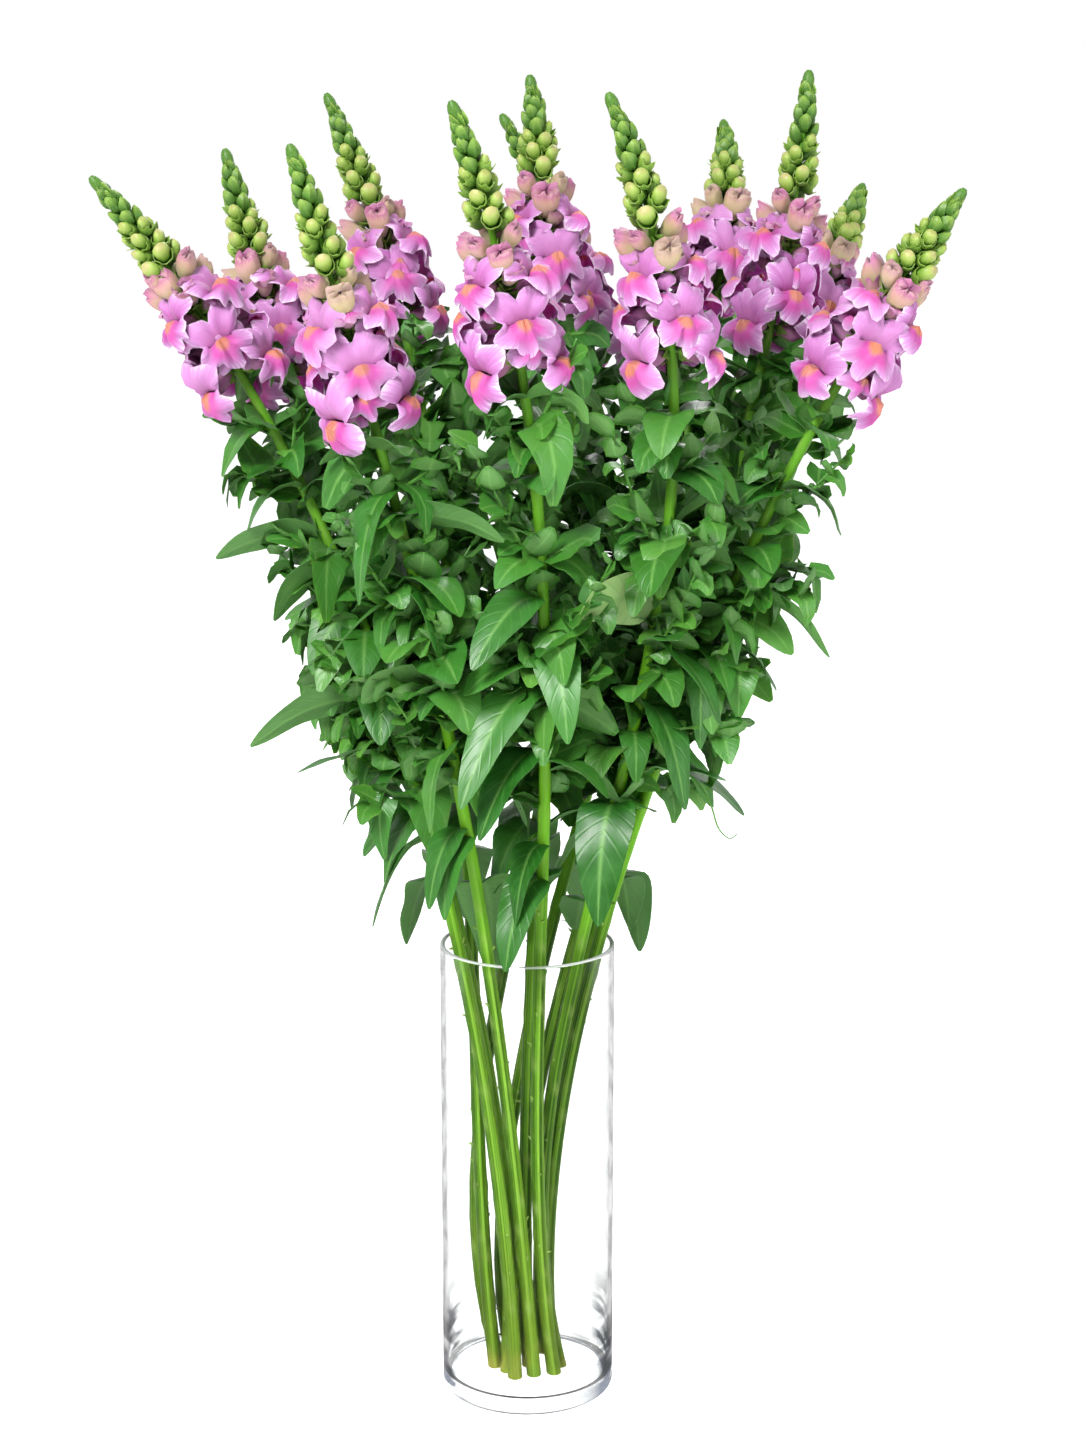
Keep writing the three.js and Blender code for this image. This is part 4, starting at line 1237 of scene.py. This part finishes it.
def petal_paint():
    """Pink lilac, paler at the thin edges, darkened in the throat as painted shade, with an orange
    palate.
    Flowers that are still shut are cream and green, and flush from their lips."""
    paint = Paint(
        "petal", Subsurface_Weight=0.35, Subsurface_Radius=(1, 0.45, 0.8), Subsurface_Scale=0.002,
        Sheen_Weight=0.15, Sheen_Roughness=0.4,
    )
    along, patch, opening, tint = paint.note()
    strength = paint.math("ABSOLUTE", tint)
    streaks = paint.noise(7, 3, paint.spot(1, 1, 0.12))
    clouds = paint.noise(90, 2)
    shade = paint.plus(along, paint.times(paint.math("SUBTRACT", streaks, 0.5), 0.3))
    # Painted shade: the pink is darkest round the throat, from 0.36 to 0.7 along the flower.
    pink = paint.ramp(
        shade, (0.1, (0.42, 0.26, 0.24)), (0.36, (0.34, 0.1, 0.21)), (0.55, (0.28, 0.025, 0.16)),
        (0.7, (0.37, 0.07, 0.3)), (0.86, (0.46, 0.15, 0.42)), (0.95, (0.59, 0.28, 0.58)),
        (1, (0.82, 0.62, 0.82)),
    )
    pink = paint.blend(paint.times(strength, 0.7), pink, (0.52, 0.23, 0.48))
    cream = paint.ramp(
        shade, (0.1, (0.2, 0.26, 0.06)), (0.4, (0.4, 0.33, 0.15)), (0.66, (0.5, 0.27, 0.22)),
        (0.76, (0.4, 0.12, 0.22)), (0.84, (0.56, 0.3, 0.32)), (1, (0.3, 0.07, 0.16)),
    )
    upper = paint.node("SeparateXYZ", Vector=paint.spot()).outputs["X"]
    flush = paint.times(
        paint.ramp(upper, (0.2, 0), (1, 1)), paint.ramp(along, (0.4, 0), (0.8, 0.7)),
    )
    lime = paint.ramp(strength, (0.45, 0), (0.75, 0.5))
    cream = paint.coats(cream, (flush, (0.4, 0.11, 0.25)), (lime, (0.42, 0.46, 0.16)))
    palate = paint.times(patch, opening)
    orange = paint.ramp(streaks, (0.3, (0.46, 0.11, 0.065)), (0.7, (0.6, 0.22, 0.085)))
    colour = paint.coats(
        cream,
        (paint.ramp(opening, (0.15, 0), (0.75, 1)), pink),
        (paint.ramp(palate, (0.1, 0), (0.42, 0.9)), (0.5, 0.04, 0.29)),
        (paint.ramp(palate, (0.58, 0), (0.76, 1)), orange),
        (paint.ramp(clouds, (0.3, 0), (0.8, 0.2)), (0.6, 0.3, 0.58)),
    )
    paint.relief(streaks, 0.35, 0.0008)
    return paint.finish(colour, paint.ramp(clouds, (0.2, 0.5), (0.9, 0.66)))


def leaf_paint():
    """Deep glossy green, duller and lighter underneath, with a pale midrib and arched veins."""
    paint = Paint(
        "leaf", Subsurface_Weight=0.12, Subsurface_Radius=(0.4, 1, 0.1), Subsurface_Scale=0.0015,
        Specular_IOR_Level=0.55,
    )
    along, aside, young, tint = paint.note()
    strength = paint.math("ABSOLUTE", tint)
    under = paint.math("LESS_THAN", tint, 0)
    dapple = paint.noise(55, 3)
    veins = paint.math("SUBTRACT", along, paint.times(aside, 0.2))
    veins = paint.plus(paint.times(paint.math("SINE", paint.times(veins, 52)), 0.5), 0.5)
    veins = paint.ramp(veins, (0.8, 0), (1, 1))
    midrib = paint.ramp(aside, (0, 1), (0.09, 0.35), (0.16, 0))
    deep = paint.blend(strength, (0.008, 0.085, 0.003), (0.046, 0.2, 0.02))
    fresh = paint.blend(strength, (0.075, 0.26, 0.028), (0.18, 0.41, 0.065))
    # Painted light: the turned leaf is painted lighter than an underside, to make up for the shade
    # it hangs in.
    pale = paint.math("GREATER_THAN", young, PALE_AND_LIT - 0.5)
    colour = paint.coats(
        deep,
        (paint.times(young, 0.6, clamp=True), fresh),
        (paint.ramp(dapple, (0.35, 0), (0.75, 0.5)), (0.05, 0.23, 0.035)),
        (paint.times(pale, 0.88), (0.4, 0.58, 0.2)),
        (paint.times(veins, 0.16), (0.09, 0.26, 0.05)),
        (paint.times(midrib, 0.62), (0.18, 0.4, 0.09)),
        (paint.times(under, 0.5), (0.13, 0.28, 0.08)),
    )
    paint.relief(paint.math("SUBTRACT", dapple, paint.times(veins, 0.5)), 0.32, 0.0007)
    gloss = paint.ramp(dapple, (0.25, 0.34), (0.8, 0.48))
    return paint.finish(colour, paint.plus(gloss, paint.times(under, 0.2)))


def bud_paint():
    """The green tops: sepals and small leaves mid green, the buds inside pale yellow green, and
    flushed at the tip where they are ripe. Each is darker towards its base, which is painted shade."""
    paint = Paint(
        "bud", Subsurface_Weight=0.2, Subsurface_Radius=(0.6, 1, 0.2), Subsurface_Scale=0.0015,
    )
    along, inside, ripe, _ = paint.note()
    dapple = paint.noise(160, 3)
    # Painted shade: each ramp darkens towards the base of the sepal, bud or small leaf.
    sepal = paint.ramp(
        along, (0, (0.018, 0.08, 0.006)), (0.6, (0.064, 0.175, 0.016)), (1, (0.2, 0.33, 0.048)),
    )
    bloom = paint.ramp(
        along, (0.15, (0.08, 0.2, 0.018)), (0.6, (0.2, 0.35, 0.042)), (0.88, (0.34, 0.45, 0.1)),
        (1, (0.45, 0.38, 0.17)),
    )
    small = paint.ramp(
        along, (0.2, (0.045, 0.13, 0.012)), (0.6, (0.125, 0.24, 0.025)),
        (0.95, (0.28, 0.38, 0.065)),
    )
    colour = paint.coats(
        sepal,
        (paint.ramp(dapple, (0.4, 0), (0.7, 0.25)), (0.12, 0.28, 0.03)),
        (paint.ramp(inside, (0.6, 0), (0.9, 1)), paint.blend(ripe, small, bloom)),
    )
    paint.relief(dapple, 0.2, 0.0006)
    return paint.finish(colour, paint.ramp(dapple, (0.2, 0.4), (0.8, 0.58)))


def stalk_paint():
    """Green with fine streaks, with painted light above the vase against the shade of the leaves,
    browner at the cut end and on the scars.
    """
    paint = Paint(
        "stalk", Subsurface_Weight=0.1, Subsurface_Radius=(0.5, 1, 0.15), Subsurface_Scale=0.002,
        Specular_IOR_Level=0.3,
    )
    along, scar, _, tint = paint.note()
    streaks = paint.noise(3, 4, paint.spot(1.6, 1.6, 0.35))
    stripes = paint.noise(1.6, 2, paint.spot(1, 1, 0.08))
    blotch = paint.noise(26, 3)
    rusty = paint.plus(along, paint.times(blotch, 0.12))
    colour = paint.coats(
        paint.blend(streaks, (0.06, 0.16, 0.006), (0.17, 0.35, 0.018)),
        (paint.times(tint, 0.4), (0.13, 0.32, 0.01)),
        (paint.ramp(stripes, (0.42, 0.9), (0.58, 0)), (0.02, 0.072, 0.002)),
        (paint.ramp(stripes, (0.56, 0), (0.66, 0.5)), (0.24, 0.44, 0.05)),
        # Painted light: lighter green from the rim of the vase up, to make up for the shade the
        # leaves cast.
        (paint.ramp(along, (0.33, 0), (0.45, 0.8)), (0.17, 0.5, 0.012)),
        (paint.ramp(along, (0.52, 0), (0.66, 0.6)), (0.085, 0.25, 0.02)),
        (paint.ramp(rusty, (0.05, 0.55), (0.24, 0)), (0.13, 0.18, 0.014)),
        (paint.ramp(rusty, (0.045, 0.7), (0.075, 0)), (0.34, 0.3, 0.05)),
        (paint.times(scar, 0.55, clamp=True), (0.26, 0.36, 0.09)),
    )
    paint.relief(streaks, 0.5, 0.0008)
    return paint.finish(colour, paint.ramp(blotch, (0.2, 0.32), (0.8, 0.46)))


def glass_paint():
    """Clear glass that darkens a little where it is seen edge on, a painted reflection, and lets
    lamp light through.
    Dark strokes low at its sides and at its foot stand for reflections of the photo's studio."""
    paint = Paint("clear_glass", IOR=1.47, Transmission_Weight=1, Specular_IOR_Level=0.15)
    # Painted reflection: the glass greys where it is seen edge on, as if it mirrored a dark studio.
    edge = paint.node("LayerWeight", Blend=0.25).outputs["Facing"]
    clear = paint.ramp(
        edge, (0.7, (0.99, 1, 0.995)), (0.88, (0.93, 0.945, 0.955)), (1, (0.8, 0.83, 0.86)),
    )
    spot = paint.node("SeparateXYZ", Vector=paint.place())
    height = paint.times(spot.outputs["Z"], 10)
    swirl = paint.node("Mapping", Vector=paint.place(), Rotation=(0.5, 0, 0.3), Scale=(26, 26, 120))
    strokes = paint.ramp(paint.noise(1, 1.5, swirl.outputs["Vector"]), (0.42, 0), (0.52, 1))
    across = paint.node("VectorMath", {"operation": "LENGTH"})
    paint.feed(across.inputs[0], paint.place(1, 1, 0))
    outer = paint.math("GREATER_THAN", across.outputs["Value"], OUTER_WALL * VASE_RADIUS * MM)
    reach = paint.times(paint.math("ABSOLUTE", spot.outputs["X"]), 1 / (VASE_RADIUS * MM))
    foot = paint.times(outer, paint.ramp(height, (0.11, 1), (0.16, 0)))
    foot = paint.times(foot, paint.ramp(reach, (0.3, 0.2), (0.85, 1)))
    sides = paint.times(
        paint.ramp(height, (0.35, 1), (0.8, 0)), paint.ramp(reach, (0.76, 0), (0.9, 1)),
    )
    marks = paint.times(strokes, paint.math("MAXIMUM", foot, sides))
    # Painted shade: a dark line round the bottom of the outer wall, where the vase stands on the
    # floor.
    line = paint.times(outer, paint.ramp(height, (0.02, 0.95), (0.045, 0)))
    marks = paint.math("MAXIMUM", marks, line)
    paint.finish(paint.blend(marks, clear, (0.03, 0.036, 0.055)), 0)
    # Painted highlight: a whitish band round the top of the rim, where it catches the light.
    rim = paint.math("GREATER_THAN", spot.outputs["Z"], (VASE_HEIGHT - RIM_HIGHLIGHT) * MM)
    paint.cover(paint.times(rim, 0.4), paint.node("BsdfDiffuse", Color=(0.95, 0.97, 0.98)))
    shadow = paint.node("LightPath").outputs["Is Shadow Ray"]
    paint.cover(shadow, paint.node("BsdfTransparent", Color=(0.93, 0.94, 0.94)))
    return paint.material


def floor_paint():
    """A pale floor that glows a little, so that it meets the backdrop without a line. Gloss and
    glass mirror it darker than it is, as in a studio with black panels beside the camera."""
    paint = Paint(
        "pale_floor", Specular_IOR_Level=0.2, Emission_Strength=FLOOR_GLOW, Emission_Color=WHITE,
    )
    grain = paint.noise(3, 2)
    paint.finish(paint.blend(grain, (0.86, 0.86, 0.86), (0.89, 0.89, 0.89)), 0.7)
    behind = paint.plus(paint.node("SeparateXYZ", Vector=paint.place()).outputs["Y"], 0.5)
    back = paint.ramp(behind, (0.42, FRONT_GLOSS), (0.6, BACK_GLOSS))
    patches = paint.ramp(paint.noise(16, 2), (0.44, 0.5), (0.54, 1))
    panel = paint.node("Emission", Color=WHITE, Strength=paint.times(back, patches))
    paint.cover(paint.light_path("Glossy Depth"), panel)
    return paint.material


# ---- The pieces

petal, leaf, bud = petal_paint(), leaf_paint(), bud_paint()
stalk, glass = stalk_paint(), glass_paint()


def hand_over(piece, node):
    """Hangs a piece on the root body and hides the CAD node that it stands for."""
    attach(piece, "root")
    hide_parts(node)


for number, row in enumerate(STEMS, start=1):
    stem = Stem(number, *row)
    tree = corners(stem.name("stem"))
    random = seeded(number)
    leaves = leaves_of(stem, random, tree)
    tufts = tufts_of(stem, random, tree)
    blooms = blooms_of(stem)
    rng = np.random.default_rng(number)

    hand_over(build_stalk(stem, rng).make(stem.name("stalk"), stalk), stem.name("stem"))
    skin = build_leaves(stem, leaves, tufts, rng)
    hand_over(skin.make(stem.name("leaves"), leaf), stem.name("stem"))

    flowers, green = Skin(), Skin()
    for axes, size, opening in blooms + late_blooms(stem, rng):
        add_flower(flowers, axes, size, opening, rng, rng.uniform(*TINTS.get(number, MIDDLE_TINT)))
        width = OPEN_CALYX_RADIUS if opening > 0.5 else SHUT_CALYX_RADIUS
        add_calyx(green, axes, size, FLOWER_CALYX, width, rng)
    build_spike(stem, green, rng)
    hand_over(flowers.make(stem.name("blooms"), petal), stem.name("florets"))
    hand_over(green.make(stem.name("green_tops"), bud), stem.name("buds"))

hand_over(build_vase().make("clear_vase", glass), "vase")

# ---- Floor, light and camera

# Name, place, size, power.
LAMPS = (
    ("key", (-1.2, -2.2, 2.3), 1, 114), ("fill", (2.2, -1.6, 1.3), 1.6, 26),
    ("back", (0.6, 2.2, 2.2), 1.4, 36),
)
LAMPS_AIM = (0, 0, 0.55)
CAMERA_PLACE, CAMERA_TILT = (0.01, -1.695, 0.808), 77.8
LENS, SENSOR = 68.97, 36


def stand(name, data, place):
    """An object of the studio at its place."""
    item = bpy.data.objects.new(name, data)
    item.location = place
    bpy.context.scene.collection.objects.link(item)
    return item


bpy.ops.mesh.primitive_circle_add(vertices=96, radius=14, fill_type="NGON", location=(0, 0, 0))
ground = bpy.context.object
ground.name = "ground"
ground.data.materials.append(floor_paint())

world = bpy.data.worlds.new("studio")
world.use_nodes = True
bpy.context.scene.world = world
sky = Nodes(world.node_tree)
towards = sky.node("SeparateXYZ", Vector=sky.node("TexCoord").outputs["Generated"])
behind = sky.plus(sky.times(towards.outputs["Y"], 0.5), 0.5)
glow = sky.ramp(behind, (0.3, FRONT_GLOSS), (0.6, BACK_GLOSS))
beside = sky.math("ABSOLUTE", towards.outputs["X"])
flags = sky.ramp(beside, (0.78, 1), (0.82, FLAG_GLOSS), (0.9, FLAG_GLOSS), (0.94, 1))
backdrop = sky.tree.nodes["Background"]
backdrop.inputs["Color"].default_value = (*WHITE, 1)
backdrop.inputs["Strength"].default_value = BACKDROP_LIGHT
light = backdrop.outputs[0]
for kind, strength in (("Glossy Depth", sky.times(glow, flags)), ("Diffuse Depth", STUDIO_LIGHT)):
    dimmed = sky.node("Background", Color=WHITE, Strength=strength)
    light = sky.either(sky.light_path(kind), light, dimmed.outputs[0])
sky.feed(sky.tree.nodes["World Output"].inputs["Surface"], light)

target = stand("middle", None, LAMPS_AIM)
for name, place, size, power in LAMPS:
    lamp = bpy.data.lights.new(name, "AREA")
    lamp.shape = "DISK"
    lamp.size = size
    lamp.energy = power
    aim = stand(name, lamp, place).constraints.new("TRACK_TO")
    aim.target = target
    aim.track_axis, aim.up_axis = "TRACK_NEGATIVE_Z", "UP_Y"

camera = stand("camera", bpy.data.cameras.new("camera"), CAMERA_PLACE)
camera.data.lens = LENS
camera.data.sensor_width = SENSOR
camera.rotation_euler = (math.radians(CAMERA_TILT), 0, 0)
bpy.context.scene.camera = camera
bpy.context.scene.view_settings.view_transform = "Standard"
